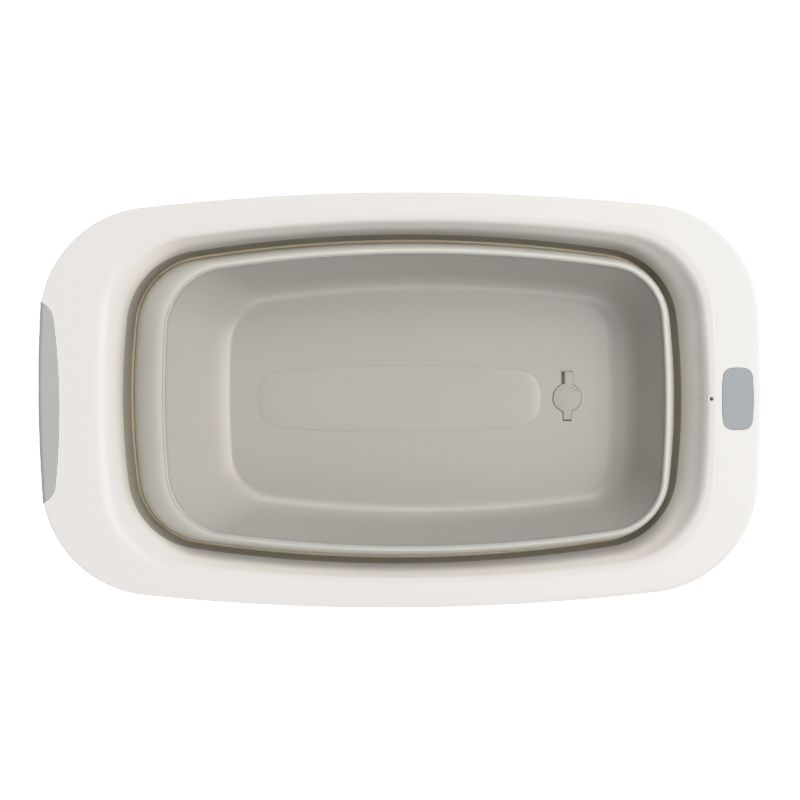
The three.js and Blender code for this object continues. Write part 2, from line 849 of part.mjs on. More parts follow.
function legParts() {
  const parts = [];
  for (const { name, end, side } of legCorners) {
    const place = legPlace({ end, side });
    const outerSide = -end * side;
    const group = new THREE.Group();
    group.position.set(place.x, place.y, legAxisZ);
    group.rotation.z = place.angle;
    group.add(node(`leg_${name}`, legSolid(outerSide), materials.leg));
    group.add(node(`leg_shoe_${name}`, shoeSolid(), materials.grip));
    group.add(node(`leg_pin_${name}`, pinSolid(outerSide), materials.leg));
    parts.push(group);
  }
  return parts;
}

const headInlay = rimInlay(headGripPlan(0), headGripPlan(fit.gap), headGrip.thickness);
const footInlay = rimInlay(footLabelPlan(0), footLabelPlan(fit.gap), footLabel.thickness);
const floorPadBlock = outlineBlock(floorPadPlan, floorTop - floorPad.thickness, floorTop);

const bathtub = new THREE.Group();
bathtub.add(node("rim_shell", rimShell(headInlay, footInlay), materials.white));
bathtub.add(node("head_grip_pad", headInlay.pad, materials.grip));
bathtub.add(node("foot_label_pad", footInlay.pad, materials.grip));
bathtub.add(node("band_cuff", cuffSolid(), materials.soft));
bathtub.add(node("folding_band", bandSolid(), materials.soft));
bathtub.add(node("lip_bead", beadSolid(), materials.soft));
bathtub.add(node("tray_shell", traySolid(), materials.tray));
bathtub.add(node("floor_grip_pad", floorPadBlock, materials.tray));
bathtub.add(node("drain_plug", plugSolid(), materials.soft));
bathtub.add(node("plug_anchor", anchorSolid(), materials.soft));
for (const place of footPadPlaces()) {
  bathtub.add(node(place.name, footPadSolid(place), materials.grip));
}
bathtub.add(...legParts());

export default bathtub;
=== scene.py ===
import json
import math
from types import SimpleNamespace

import bmesh
import bpy
import numpy as np
from mathutils import Matrix, Vector


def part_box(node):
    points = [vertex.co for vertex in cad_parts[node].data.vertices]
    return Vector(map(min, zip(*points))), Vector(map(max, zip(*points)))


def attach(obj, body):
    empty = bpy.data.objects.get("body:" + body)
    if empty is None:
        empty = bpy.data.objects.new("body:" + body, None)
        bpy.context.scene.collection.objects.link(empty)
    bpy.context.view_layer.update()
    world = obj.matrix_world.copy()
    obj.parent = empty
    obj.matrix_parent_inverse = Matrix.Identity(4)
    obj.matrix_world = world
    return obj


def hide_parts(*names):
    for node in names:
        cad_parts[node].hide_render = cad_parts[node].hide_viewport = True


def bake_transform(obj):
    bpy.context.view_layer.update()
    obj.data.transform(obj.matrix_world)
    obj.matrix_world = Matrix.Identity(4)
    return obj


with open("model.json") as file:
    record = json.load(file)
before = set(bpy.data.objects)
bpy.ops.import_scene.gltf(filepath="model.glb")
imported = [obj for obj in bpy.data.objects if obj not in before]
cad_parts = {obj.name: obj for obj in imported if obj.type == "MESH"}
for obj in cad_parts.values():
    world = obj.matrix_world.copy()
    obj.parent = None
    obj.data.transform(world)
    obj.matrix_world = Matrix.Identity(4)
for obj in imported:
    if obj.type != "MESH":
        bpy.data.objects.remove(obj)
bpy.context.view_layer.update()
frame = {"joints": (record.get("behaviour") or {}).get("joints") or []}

MM = 0.001


def node_box(name):
    """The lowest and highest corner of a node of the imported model, in millimetres."""
    return [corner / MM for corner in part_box(name)]


# Outlines: rounded rectangles with bulging sides, as reaches from the middle of the rim and radii of arcs

OUTLINE_KEYS = ("head", "foot", "side", "head_corner", "foot_corner", "side_arc", "end_arc")


def outline(*values):
    return dict(zip(OUTLINE_KEYS, values))


def grown(shape, by):
    return {key: shape[key] + by for key in OUTLINE_KEYS}


def between(first, second, share):
    return {key: first[key] + (second[key] - first[key]) * share for key in OUTLINE_KEYS}


def narrower(shape, name):
    """The outline inside another: its reaches are less by a run's, and its corners and arcs are the run's."""
    run = outline(*RUNS[name])
    reaches = {key: shape[key] - run[key] for key in ("head", "foot", "side")}
    return {**run, **reaches}


# How far each outline lies inside the last one at the head, the foot and the sides, and its corners and arcs
RUNS = {
    "shelf": (59.5, 51.5, 24, 106, 106, 2300, 1350),
    "round": (19.5, 12, 10, 96, 100, 1900, 1050),
    "wall": (5, 14, 8, 89, 92, 1620, 790),
    "cuff": (6.7, 5.2, 4.9, 86, 86, 1610, 780),
    "band": (48.3, 20.4, 19.3, 76, 66, 1560, 1100),
    "tray": (67, 35.6, 32.8, 58, 54, 1300, 1000),
    "floor": (10, 24, 16, 50, 36, 1290, 980),
}

# The corners and arcs of the rim and of the floor pad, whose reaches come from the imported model
RIM_ROUNDS = (130, 130, 2660, 1750)
FLOOR_PAD_ROUNDS = (27, 27, 1600, 150)

# The outlines of the pads on the rim. They lie along its surface.
GRIP_OUTLINE = (31.9, 19, 115, 12, 24, 900, 576)
LABEL_OUTLINE = (18, 18, 35.5, 11, 11, 60, 260)
LABEL_X = 383.3

rim_low, rim_high = node_box("rim_shell")
grip_low, _ = node_box("head_grip_pad")
cuff_low, _ = node_box("band_cuff")
bead_low, bead_high = node_box("lip_bead")
pad_low, pad_high = node_box("floor_grip_pad")
strap_low, strap_high = node_box("plug_anchor")

rim_edge = outline(-grip_low.x, rim_high.x, rim_high.y, *RIM_ROUNDS)
shelf_edge = narrower(rim_edge, "shelf")
round_foot = narrower(shelf_edge, "round")
wall_foot = narrower(round_foot, "wall")
crease = narrower(wall_foot, "cuff")
lip = narrower(crease, "band")
floor_edge = narrower(lip, "tray")
floor_pad_shape = outline(-pad_low.x, pad_high.x, pad_high.y, *FLOOR_PAD_ROUNDS)
grip_shape = outline(*GRIP_OUTLINE)
label_shape = outline(*LABEL_OUTLINE)

# Heights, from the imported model
RIM_TOP = rim_high.z
WALL_FOOT_Z = rim_low.z
CUFF_BOTTOM = cuff_low.z
LIP_TOP = bead_high.z
TRAY_EDGE_Z = bead_low.z
FLOOR_TOP = pad_high.z

# Walls, edges and small parts. An edge or a round is the radius of a rounded edge.
GAP = 0.3
SEAM = 0.1
OVERRUN = 4
RIM = SimpleNamespace(wall=3, edge_round=5.5, bend=14, skirt=36, draft=2, skirt_edge=1.1)
CUFF = SimpleNamespace(toe=3, toe_thickness=2.6, hollow=0.6, crease_radius=1.7)
BAND = SimpleNamespace(thickness=2, power=0.62, spacing=1.5, lean_share=0.4, below_lip=0.3, tuck=1.8)
BEAD_WIDTH = 4.8
TRAY = SimpleNamespace(wall=2.8, floor=3, fillet=24, corner_share=0.86)
UNDER_RIB = SimpleNamespace(inset=14, width=3, drop=3, edge=1)
FLOOR_PAD = SimpleNamespace(thickness=1.5, edge=0.15, grow=0.22)
PAD = SimpleNamespace(thickness=1.5, edge=0.5, proud=0.15, pocket_flare=0.35)
RIB = SimpleNamespace(thickness=2.5, drop=24, end_y=112, side_x=52)
EAR = SimpleNamespace(thickness=3, gap=0.8, radius=11, edge=0.5)
HANG_HOLE = SimpleNamespace(radius=2.3, shelf_inset=4.5, depth=12, wall=1.6, flare=0.5)
DRIP_GROOVE = SimpleNamespace(radius=1.2, lift=0.7, start_share=0.45, mark=2.6, mark_radius=0.45)
SLIT = SimpleNamespace(length=25, width=1.4, depth=0.8, y=83)
DRAIN = SimpleNamespace(
    bore=13, boss_wall=5.6, boss_drop=5, bar_margin=3, seat_depth=3, seat_gap=0.6, flare=0.2,
)
PLUG = SimpleNamespace(
    radius=17, thickness=2.6, edge=0.45, corner=0.8, shift=0.45,
    strap_width=9.4, strap_thickness=2, strap_gap=0.5, side_slot=3.7, slot_depth=7.4,
    hinge_reach=31, anchor_length=3, tab_width=12, tab_tip_width=9, tab_reach=26.3, tab_notch=1.6,
    stem_gap=0.5, stem_taper=0.8, stem_drop=2.6, stem_edge=0.5,
)
PLUG_MARK = SimpleNamespace(radius=1.1, proud=0.8, peak_y=15.5, left=(-8.4, 9.5), right=(12.6, 8.5))
BASE_PAD = SimpleNamespace(radius=17, seat=1, edge=1.2, groove=0.6, ring_radii=(4.5, 8.5, 12.5))
LEG = SimpleNamespace(
    root_radius=15, tip_half_width=12, thickness=12, edge=1.2, pocket_depth=8.5, pocket_wall=3,
)
LEG_POCKETS = SimpleNamespace(count=4, first=22, corner=2.5, floor_edge=1.6, flare=0.4)
SHOE = SimpleNamespace(thickness=16, half_width=14, length=14, socket=6, corner=4, edge=1.6, groove=1.1)
PIN = SimpleNamespace(radius=3.7, head_radius=6.5, head_length=2.4, tail=1.4, edge=0.8)

TRAY_BOTTOM = FLOOR_TOP - TRAY.floor
STRAP_X = (strap_low.x + strap_high.x) / 2
STRAP_REACH = PLUG.hinge_reach + PLUG.anchor_length
STRAP_SLOT = PLUG.strap_gap + PLUG.strap_width + DRAIN.seat_gap + PLUG.side_slot
DRAIN_X = STRAP_X - STRAP_SLOT / 2 + PLUG.strap_gap + PLUG.strap_width / 2
SEAT_Z = FLOOR_TOP - DRAIN.seat_depth
SEAT_RADIUS = PLUG.radius + DRAIN.seat_gap
PLUG_TOP = SEAT_Z + PLUG.thickness
TAB_TIP_HALF = PLUG.tab_tip_width / 2
TAB_ROOT_HALF = PLUG.tab_width / 2 + (TAB_TIP_HALF - PLUG.tab_width / 2) * PLUG.radius / PLUG.tab_reach
BASE_PAD_TOP = TRAY_BOTTOM + BASE_PAD.seat
PIN_SPAN = LEG.thickness / 2 + EAR.gap + EAR.thickness

# A plan's corner that turns less than this stays as it is, and its fillet takes at most a share of each side
FILLET_TURN = math.radians(20)
FILLET_SHARE = 0.45

# An edge of a mesh is sharp where its faces turn by more than this
SHARP_ANGLE = math.radians(38)

# Points on the arcs of an outline, and steps along sections, edges, circles and pads
STEPS = SimpleNamespace(
    end=12, corner=26, side=30,
    skirt=4, skirt_edge=6, round=12, shelf=5, bend=12, slope=6, cuff=6, crease=10, band=28, bead=14, wall=8,
    fillet=14, edge=3, pad_edge=4, plan_corner=4, shoe_corner=6, leg_root=28, ear=24, keyhole=24,
    rod=16, rod_end=4, hole=32, pin=36, pin_head=5, socket=64, disc=72,
    floor_rings=10, label_rings=14, grip_rings=26,
)


def corner_centre(length, width, corner, side_arc, end_arc):
    """The centres of the corner's circle and of the two arcs that it touches, the side's and the end's."""
    side_centre = Vector((0, width - side_arc))
    end_centre = Vector((length - end_arc, 0))
    across = end_centre - side_centre
    apart = across.length
    side_reach = side_arc - corner
    end_reach = end_arc - corner
    along = (side_reach**2 - end_reach**2 + apart**2) / (2 * apart)
    off = math.sqrt(side_reach**2 - along**2)
    unit = across / apart
    return side_centre + unit * along + Vector((unit.y, -unit.x)) * off, side_centre, end_centre


def arc(centre, radius, start, end, steps, with_end=False):
    """Points along an arc, without its last one or with it."""
    angles = start + (end - start) * np.arange(steps + 1 if with_end else steps) / steps
    return np.stack([centre[0] + radius * np.cos(angles), centre[1] + radius * np.sin(angles)], axis=1)


def circle(radius, steps, place=(0, 0)):
    return arc(place, radius, 0, 2 * math.pi, steps)


def quarter(length, width, corner, side_arc, end_arc):
    """From the middle of the end to just before the middle of the long side."""
    centre, side_centre, end_centre = corner_centre(length, width, corner, side_arc, end_arc)
    end_angle = math.atan2(centre.y - end_centre.y, centre.x - end_centre.x)
    side_angle = math.atan2(centre.y - side_centre.y, centre.x - side_centre.x)
    return np.concatenate([
        arc(end_centre, end_arc, 0, end_angle, STEPS.end),
        arc(centre, corner, end_angle, side_angle, STEPS.corner),
        arc(side_centre, side_arc, side_angle, math.pi / 2, STEPS.side),
    ])


def plan_points(shape):
    """The closed outline, anticlockwise from the middle of the foot end."""
    middle = (shape["foot"] - shape["head"]) / 2
    half = (shape["foot"] + shape["head"]) / 2
    arcs = (shape["side_arc"], shape["end_arc"])
    foot = quarter(half, shape["side"], shape["foot_corner"], *arcs)
    head = quarter(half, shape["side"], shape["head_corner"], *arcs)
    points = np.concatenate([
        foot,
        [[0, shape["side"]]],
        head[:0:-1] * (-1, 1),
        head * (-1, -1),
        [[0, -shape["side"]]],
        foot[:0:-1] * (1, -1),
    ])
    return points + (middle, 0)


def reach_across(reach, radius, y):
    """How far an end's arc reaches along the tub, at a place across it."""
    return reach - radius + np.sqrt(radius**2 - y**2)


# Meshes

def linked(name, data):
    """An object of this mesh, lamp or camera, in the scene."""
    made = bpy.data.objects.new(name, data)
    bpy.context.scene.collection.objects.link(made)
    return made


def mesh_piece(name, vertices, faces):
    """A closed mesh from points in millimetres, with its faces pointing out and smooth shading."""
    mesh = bpy.data.meshes.new(name)
    mesh.from_pydata([Vector(v) * MM for v in vertices], [], faces)
    work = bmesh.new()
    work.from_mesh(mesh)
    bmesh.ops.recalc_face_normals(work, faces=work.faces)
    work.to_mesh(mesh)
    work.free()
    return smooth(linked(name, mesh))


def smooth(piece):
    mesh = piece.data
    mesh.polygons.foreach_set("use_smooth", [True] * len(mesh.polygons))
    mesh.set_sharp_from_angle(angle=SHARP_ANGLE)
    return piece


def ring_faces(count, size, closed):
    faces = []
    for i in range(count if closed else count - 1):
        here = i * size
        there = (i + 1) % count * size
        for j in range(size):
            k = (j + 1) % size
            faces.append((here + j, here + k, there + k, there + j))
    return faces


def capped_mesh(name, rings, bottom, top):
    """A bowl, block or pad: its rings lead from the middle of one face over the edge to that of the other."""
    size = len(rings[0])
    faces = ring_faces(len(rings), size, False)
    first = len(rings) * size
    last = first - size
    for j in range(size):
        k = (j + 1) % size
        faces.append((first, k, j))
        faces.append((first + 1, last + j, last + k))
    return mesh_piece(name, np.concatenate([*rings, [bottom], [top]]), faces)


def at_height(points, z):
    return np.column_stack([points, np.full(len(points), float(z))])


def outline_rings(stations):
    return [at_height(plan_points(shape), z) for shape, z in stations]


def loop_mesh(name, stations):
    """A hollow ring: its stations, each an outline and a height, go once round its section."""
    rings = outline_rings(stations)
    return mesh_piece(name, np.concatenate(rings), ring_faces(len(rings), len(rings[0]), True))


def lathe(name, profile, steps, place=(0, 0, 0)):
    """A turned piece: the profile leads from the middle of its underside to the middle of its top."""
    rings = [at_height(circle(radius, steps), z) + place for radius, z in profile]
    ends = [Vector(place) + Vector((0, 0, z)) for z in (profile[0][1], profile[-1][1])]
    return capped_mesh(name, rings, *ends)


def baked(piece):
    """Puts the result of a piece's modifiers in its mesh."""
    bpy.context.view_layer.update()
    graph = bpy.context.evaluated_depsgraph_get()
    mesh = bpy.data.meshes.new_from_object(piece.evaluated_get(graph))
    piece.modifiers.clear()
    piece.data = mesh
    return piece


def combined(piece, other, operation):
    modifier = piece.modifiers.new("combine", "BOOLEAN")
    modifier.operation = operation
    modifier.solver = "MANIFOLD"
    modifier.object = other
    baked(piece)
    bpy.data.objects.remove(other)
    return smooth(piece)


def joined(piece, *others):
    for other in others:
        combined(piece, other, "UNION")
    return piece


def cut(piece, *others):
    for other in others:
        combined(piece, other, "DIFFERENCE")
    return piece


def evened(piece):
    """Keeps large flat faces flat where they meet a rounded edge."""
    modifier = piece.modifiers.new("even", "WEIGHTED_NORMAL")
    modifier.keep_sharp = True
    return baked(piece)


def turned(piece, matrix):
    """Moves a piece's mesh by a matrix whose shift is in millimetres."""
    matrix = matrix.copy()
    matrix.translation *= MM
    piece.data.transform(matrix)
    return piece


def fractions(steps, first=0):
    return [i / steps for i in range(first, steps + 1)]


def gathered(name, parts):
    """Several separate solids as one piece."""
    work = bmesh.new()
    for part in parts:
        work.from_mesh(part.data)
        bpy.data.objects.remove(part)
    mesh = bpy.data.meshes.new(name)
    work.to_mesh(mesh)
    work.free()
    return smooth(linked(name, mesh))


# Plates and tools with a drawn plan. A profile lists how far the plan is drawn in, and at what height.

def rounding(radius, steps=STEPS.edge):
    """The points of a quarter round: how far each lies in from the side and down from the top."""
    turns = [math.pi / 2 * share for share in fractions(steps)]
    return [(radius * (1 - math.cos(turn)), radius * (1 - math.sin(turn))) for turn in turns]


def rounded_profile(low, high, edge, steps=STEPS.edge):
    """The side of a plate with both its rims rounded."""
    lower = [(inset, low + rise) for rise, inset in rounding(edge, steps)]
    upper = [(inset, high + low - z) for inset, z in lower[::-1]]
    return lower + upper


def pocket_profile(floor, face, flare, floor_edge=0):
    """The side of a tool that cuts a pocket into a face above or below, with its rim and floor rounded."""
    up = 1 if face > floor else -1
    foot = [(0, floor)]
    if floor_edge:
        foot = [(inset, floor + up * rise) for rise, inset in rounding(floor_edge)]
    rim = [(-reach, face - up * depth) for reach, depth in rounding(flare)]
    return foot + rim + [(-flare, face + up * OVERRUN)]


def plate(name, plan, profile, middle=None, crosswise=False):
    """A plate or tool with a plan and a profile. Crosswise, its plan is in X and Z, and it rises along Y."""
    plan = np.array(plan, float)
    middle = plan.mean(axis=0) if middle is None else np.array(middle, float)
    sides = np.roll(plan, -1, axis=0) - plan
    sides /= np.linalg.norm(sides, axis=1)[:, None]
    bisector = sides + np.roll(sides, 1, axis=0)
    inward = np.stack([-bisector[:, 1], bisector[:, 0]], axis=1) * 2 / (bisector**2).sum(axis=1)[:, None]

    def placed(points, height):
        raised = at_height(points, height)
        return raised[:, (0, 2, 1)] if crosswise else raised

    rings = [placed(plan + inward * inset, height) for inset, height in profile]
    ends = [placed(middle[None], height)[0] for _, height in (profile[0], profile[-1])]
    return capped_mesh(name, rings, *ends)


def rectangle(low_x, high_x, low_y, high_y):
    return [(high_x, low_y), (high_x, high_y), (low_x, high_y), (low_x, low_y)]


def filleted(corners, radius, steps=STEPS.plan_corner):
    """A closed plan with its corners rounded."""
    corners = [Vector(corner) for corner in corners]
    made = []
    for i, corner in enumerate(corners):
        back = corners[i - 1] - corner
        ahead = corners[(i + 1) % len(corners)] - corner
        turn = math.pi - back.angle(ahead)
        if turn < FILLET_TURN:
            made.append(tuple(corner))
            continue
        reach = min(radius * math.tan(turn / 2), FILLET_SHARE * back.length, FILLET_SHARE * ahead.length)
        first = corner + back.normalized() * reach
        last = corner + ahead.normalized() * reach
        for t in fractions(steps):
            made.append(tuple(first * (1 - t) ** 2 + corner * 2 * t * (1 - t) + last * t**2))
    return made


def block(name, low, high, edge, corner=None):
    """A block between two corners, with rounded edges."""
    plan = filleted(rectangle(low[0], high[0], low[1], high[1]), edge if corner is None else corner)
    return plate(name, plan, rounded_profile(low[2], high[2], edge))


def rod(name, start, end, radius):
    """A thin round bar with domed ends between two points."""
    start, end = Vector(start), Vector(end)
    length = (end - start).length
    dome = rounding(radius, STEPS.rod_end)[1:]
    profile = [(radius - drop, inset - radius) for inset, drop in dome]
    profile += [(reach, length - z) for reach, z in profile[::-1]]
    turn = (end - start).to_track_quat("Z", "Y").to_matrix().to_4x4()
    return turned(lathe(name, profile, STEPS.rod), Matrix.Translation(start) @ turn)


def dressed(piece, body, slot, material, *nodes):
    """Gives a piece its material, lets it ride on a body and stand for its nodes."""
    piece.data.materials.clear()
    piece.data.materials.append(materials[material])
    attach(piece, body)
    if nodes:
        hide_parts(*nodes)


# Sections of the rim, the cuff, the band and the tray, as lists of outline and height

def rim_outer(inward=0):
    """The skirt and the round edge of the rim, drawn in by a distance, up to the flat shelf."""
    stations = []
    for share in fractions(STEPS.skirt):
        z = RIM_TOP - RIM.skirt + (RIM.skirt - RIM.edge_round) * share
        stations.append((grown(rim_edge, -inward - RIM.draft * (1 - share)), z))
    for inset, drop in rounding(RIM.edge_round - inward, STEPS.round)[1:]:
        stations.append((grown(rim_edge, -inward - inset), RIM_TOP - inward - drop))
    return stations


def rim_inner(outward=0):
    """The rim's inner face: a soft bend from the shelf, and then a straight slope to the foot of the wall."""
    wall_drop = RIM_TOP - WALL_FOOT_Z
    middle = between(round_foot, wall_foot, -RIM.bend / (wall_drop - RIM.bend))
    stations = []
    for share in fractions(STEPS.bend):
        bend = between(between(shelf_edge, middle, share), between(middle, round_foot, share), share)
        z = RIM_TOP - RIM.bend * share**2 - outward * (1 - share)
        stations.append((grown(bend, outward * share), z))
    for share in fractions(STEPS.slope, first=1):
        z = RIM_TOP - RIM.bend + (WALL_FOOT_Z - RIM_TOP + RIM.bend) * share
        stations.append((grown(between(round_foot, wall_foot, share), outward), z))
    return stations


def rim_section():
    """Once round the rim's section: over the skirt's rounded lower edge, over the top and back inside."""
    edge = []
    for share in fractions(STEPS.skirt_edge):
        angle = math.pi * share
        reach = -RIM.draft - RIM.wall / 2 * (1 + math.cos(angle))
        edge.append((grown(rim_edge, reach), RIM_TOP - RIM.skirt + RIM.skirt_edge * (1 - math.sin(angle))))
    round_top = grown(rim_edge, -RIM.edge_round)
    shares = fractions(STEPS.shelf, first=1)[:-1]
    shelf = [(between(round_top, shelf_edge, share), RIM_TOP) for share in shares]
    inside = rim_outer(RIM.wall)[1:] + rim_inner(RIM.wall)
    return edge + rim_outer()[1:] + shelf + rim_inner() + inside[::-1]


def cuff_section():
    """The soft cuff on the foot of the rim's wall, with its hollow slope and the toe for the crease."""
    toe_top = CUFF_BOTTOM + CUFF.toe_thickness
    toe_inside = grown(crease, -CUFF.toe)
    stations = [(grown(crease, RIM.wall), CUFF_BOTTOM), (grown(wall_foot, RIM.wall), WALL_FOOT_Z)]
    for share in fractions(STEPS.cuff):
        hollow = CUFF.hollow * math.sin(math.pi * share)
        z = WALL_FOOT_Z + (toe_top - WALL_FOOT_Z) * share
        stations.append((grown(between(wall_foot, crease, share), hollow), z))
    return stations + [(toe_inside, toe_top), (toe_inside, CUFF_BOTTOM)]


def crease_section():
    """The round bead along the crease, on the cuff's toe."""
    middle = grown(crease, -CUFF.toe / 2)
    section = circle(CUFF.crease_radius, STEPS.crease, (0, CUFF_BOTTOM + CUFF.toe_thickness))
    return [(grown(middle, reach), z) for reach, z in section]


def band_section():
    """The folding band at rest, from the toe up to the tray's lip."""
    start = grown(crease, -CUFF.toe - GAP)
    end = grown(lip, BEAD_WIDTH / 2 - BAND.tuck)
    low = CUFF_BOTTOM + GAP
    high = LIP_TOP - BAND.below_lip
    outside = []
    inside = []
    for step in fractions(STEPS.band):
        share = step**BAND.spacing
        z = low + (high - low) * math.sin(share * math.pi / 2) ** BAND.power
        lean = BAND.thickness * BAND.lean_share * math.sin(math.pi * step)
        shape = between(start, end, share)
        outside.append((shape, z))
        inside.append((grown(shape, -BAND.thickness), z - lean))
    return outside + inside[::-1]


def bead_section():
    """The round roll over the tray's edge."""
    half = BEAD_WIDTH / 2
    middle = grown(lip, half - TRAY.wall)
    stations = [(grown(middle, -half), TRAY_EDGE_Z), (grown(middle, half), TRAY_EDGE_Z)]
    for share in fractions(STEPS.bead):
        angle = math.pi * share
        stations.append((grown(middle, half * math.cos(angle)), LIP_TOP - half + half * math.sin(angle)))
    return stations


def tray_face(outward=0):
    """The tray's wet face from the lip down to the floor, or its dry face at a distance outside it."""
    top = grown(lip, -TRAY.wall)
    corner = between(top, floor_edge, TRAY.corner_share)
    wall_end = between(corner, top, TRAY.fillet / (TRAY_EDGE_Z - FLOOR_TOP))
    flat_edge = narrower(corner, "floor")
    stations = []
    for share in fractions(STEPS.wall)[:-1]:
        z = TRAY_EDGE_Z + (FLOOR_TOP + TRAY.fillet - TRAY_EDGE_Z) * share
        stations.append((grown(between(top, wall_end, share), outward), z))
    for t in fractions(STEPS.fillet):
        shape = between(between(wall_end, corner, t), between(corner, flat_edge, t), t)
        z = FLOOR_TOP + (1 - t) ** 2 * TRAY.fillet - outward * t * TRAY.floor / TRAY.wall
        stations.append((grown(shape, outward * (1 - t)), z))
    return stations


# Places on the rim where pads are let in

def label_surface(points, depth):
    """The rim's top near its foot end, from points about the middle of the label pad."""
    x, y = points[:, 0] + LABEL_X, points[:, 1]
    inset = reach_across(rim_edge["foot"], rim_edge["end_arc"], y) - x
    over = np.clip(RIM.edge_round - inset, 0, RIM.edge_round)
    drop = RIM.edge_round - np.sqrt(RIM.edge_round**2 - over**2)
    return np.column_stack([x, y, RIM_TOP - drop - depth])


def grip_surface(points, depth):
    """The rim's surface at its head end. The points' first coordinate leads inwards from where the round edge
    begins, or outwards over that edge and down the skirt. The second leads across the tub."""
    along, y = points[:, 0], points[:, 1]
    radius = RIM.edge_round - depth
    angle = np.clip(-along / RIM.edge_round, 0, math.pi / 2)
    down = np.maximum(-along - RIM.edge_round * math.pi / 2, 0)
    inset = np.where(along > 0, RIM.edge_round + along, RIM.edge_round - radius * np.sin(angle))
    inset = inset + RIM.draft * down / (RIM.skirt - RIM.edge_round)
    z = np.where(along > 0, RIM_TOP - depth, RIM_TOP - RIM.edge_round + radius * np.cos(angle) - down)
    x = -reach_across(rim_edge["head"] - inset, rim_edge["end_arc"] - inset, y)
    return np.column_stack([x, y, z])


def floor_surface(points, depth):
    return at_height(points, FLOOR_TOP - depth)


def inlay(name, shape, surface, sides, ring_steps):
    """A pad let into a surface, or the tool for its pocket. Its sides list how far the plan is drawn in and
    at what depth. Its rings lead from the middle of its underside outwards, over its edge and inwards."""
    middle = np.array([(shape["foot"] - shape["head"]) / 2, 0])

    def ring(inset, share, depth):
        outer = plan_points(grown(shape, -inset))
        return surface(middle + (outer - middle) * share, depth)

    shares = fractions(ring_steps, first=1)
    (first_inset, first_depth), (last_inset, last_depth) = sides[0], sides[-1]
    rings = [ring(first_inset, share, first_depth) for share in shares[:-1]]
    rings += [ring(inset, 1, depth) for inset, depth in sides]
    rings += [ring(last_inset, share, last_depth) for share in shares[-2::-1]]
    ends = [surface(middle[None], depth)[0] for depth in (first_depth, last_depth)]
    return capped_mesh(name, rings, *ends)


def pad_sides(thickness, edge, proud=0, grow=0):
    """The sides of a pad: straight up from its underside, and then over its rounded edge."""
    rounded = [(inset - grow, depth - proud) for inset, depth in rounding(edge, STEPS.pad_edge)]
    return [(-grow, thickness), *rounded]


def pocket_sides(thickness, flare):
    """The sides of the pocket for a pad, a gap wider and deeper than the pad, with a rounded rim."""
    rim = [(-GAP - reach, depth) for reach, depth in rounding(flare)]
    return [(-GAP, thickness + GAP), *rim, (-GAP - flare, -OVERRUN)]


# Materials: a base colour with a little drift over the piece, a fine moulded grain, and a finish that is a
# little smoother along its edges, where hands have rubbed it.

# Each material's colour, its roughness, the width and height of its grain, and how far its colour drifts
FINISHES = {
    "white_polypropylene": ((0.89, 0.868, 0.845), 0.42, 0.5, 0.012, 0.005),
    "tray_polypropylene": ((0.394, 0.378, 0.346), 0.34, 0.6, 0.012, 0.006),
    "soft_band": ((0.515, 0.503, 0.463), 0.55, 0.35, 0.02, 0.01),
    "lip_roll": ((0.40, 0.397, 0.378), 0.55, 0.35, 0.015, 0.015),
    # The crease bead's tan is painted light: the light that shines through the thin crease of the soft band.
    "crease_bead_painted_light": ((0.76, 0.635, 0.455), 0.40, 0.3, 0.01, 0.03),
    "grip_rubber": ((0.413, 0.418, 0.40), 0.62, 0.45, 0.03, 0.015),
    "label_rubber": ((0.292, 0.312, 0.328), 0.60, 0.45, 0.03, 0.015),
    "foot_rubber": ((0.30, 0.30, 0.29), 0.68, 0.4, 0.03, 0.03),
    "plug_rubber": ((0.386, 0.371, 0.34), 0.5, 0.35, 0.015, 0.02),
    "pin_polyoxymethylene": ((0.78, 0.76, 0.74), 0.35, 0.5, 0.01, 0.01),
    "leg_polypropylene": ((0.84, 0.81, 0.785), 0.45, 0.6, 0.02, 0.015),
}

# A darker, warmer colour painted low on a material, as painted shade in the deep groove by the band's crease.
# It fades out up to the lip.
CREASE_SHADE_COLOURS = {"soft_band": (0.40, 0.375, 0.305)}

# The textures' widths and details, and how far they change the roughness
DRIFT = SimpleNamespace(width=90, detail=2)
SMEAR = SimpleNamespace(width=22, detail=3, change=0.015)
SPECK = SimpleNamespace(detail=1, change=0.03)
GRAIN_DETAIL = 2
RUB = 0.06
ROUGH_SHARE = 0.6

# The range that a noise mostly keeps to, and that of the pointiness from a flat face to a fully rubbed edge
NOISE_RANGE = (0.3, 0.7)
EDGE_RANGE = (0.5, 0.56)


def feed(material, node, inputs):
    """Sets the inputs of a node to values, or links them to the outputs of other nodes."""
    for socket, value in inputs.items():
        if isinstance(value, bpy.types.NodeSocket):
            material.node_tree.links.new(value, node.inputs[socket])
        else:
            node.inputs[socket].default_value = value


def shader_node(material, kind, inputs, **settings):
    """The outputs of a new node of a material."""
    made = material.node_tree.nodes.new(f"ShaderNode{kind}")
    for name, value in settings.items():
        setattr(made, name, value)
    feed(material, made, inputs)
    return made.outputs


def new_material(name):
    material = bpy.data.materials.new(name)
    material.use_nodes = True
    return material, material.node_tree.nodes["Principled BSDF"]


def tinted(colour, by=1):
    return tuple(c * by for c in colour) + (1,)


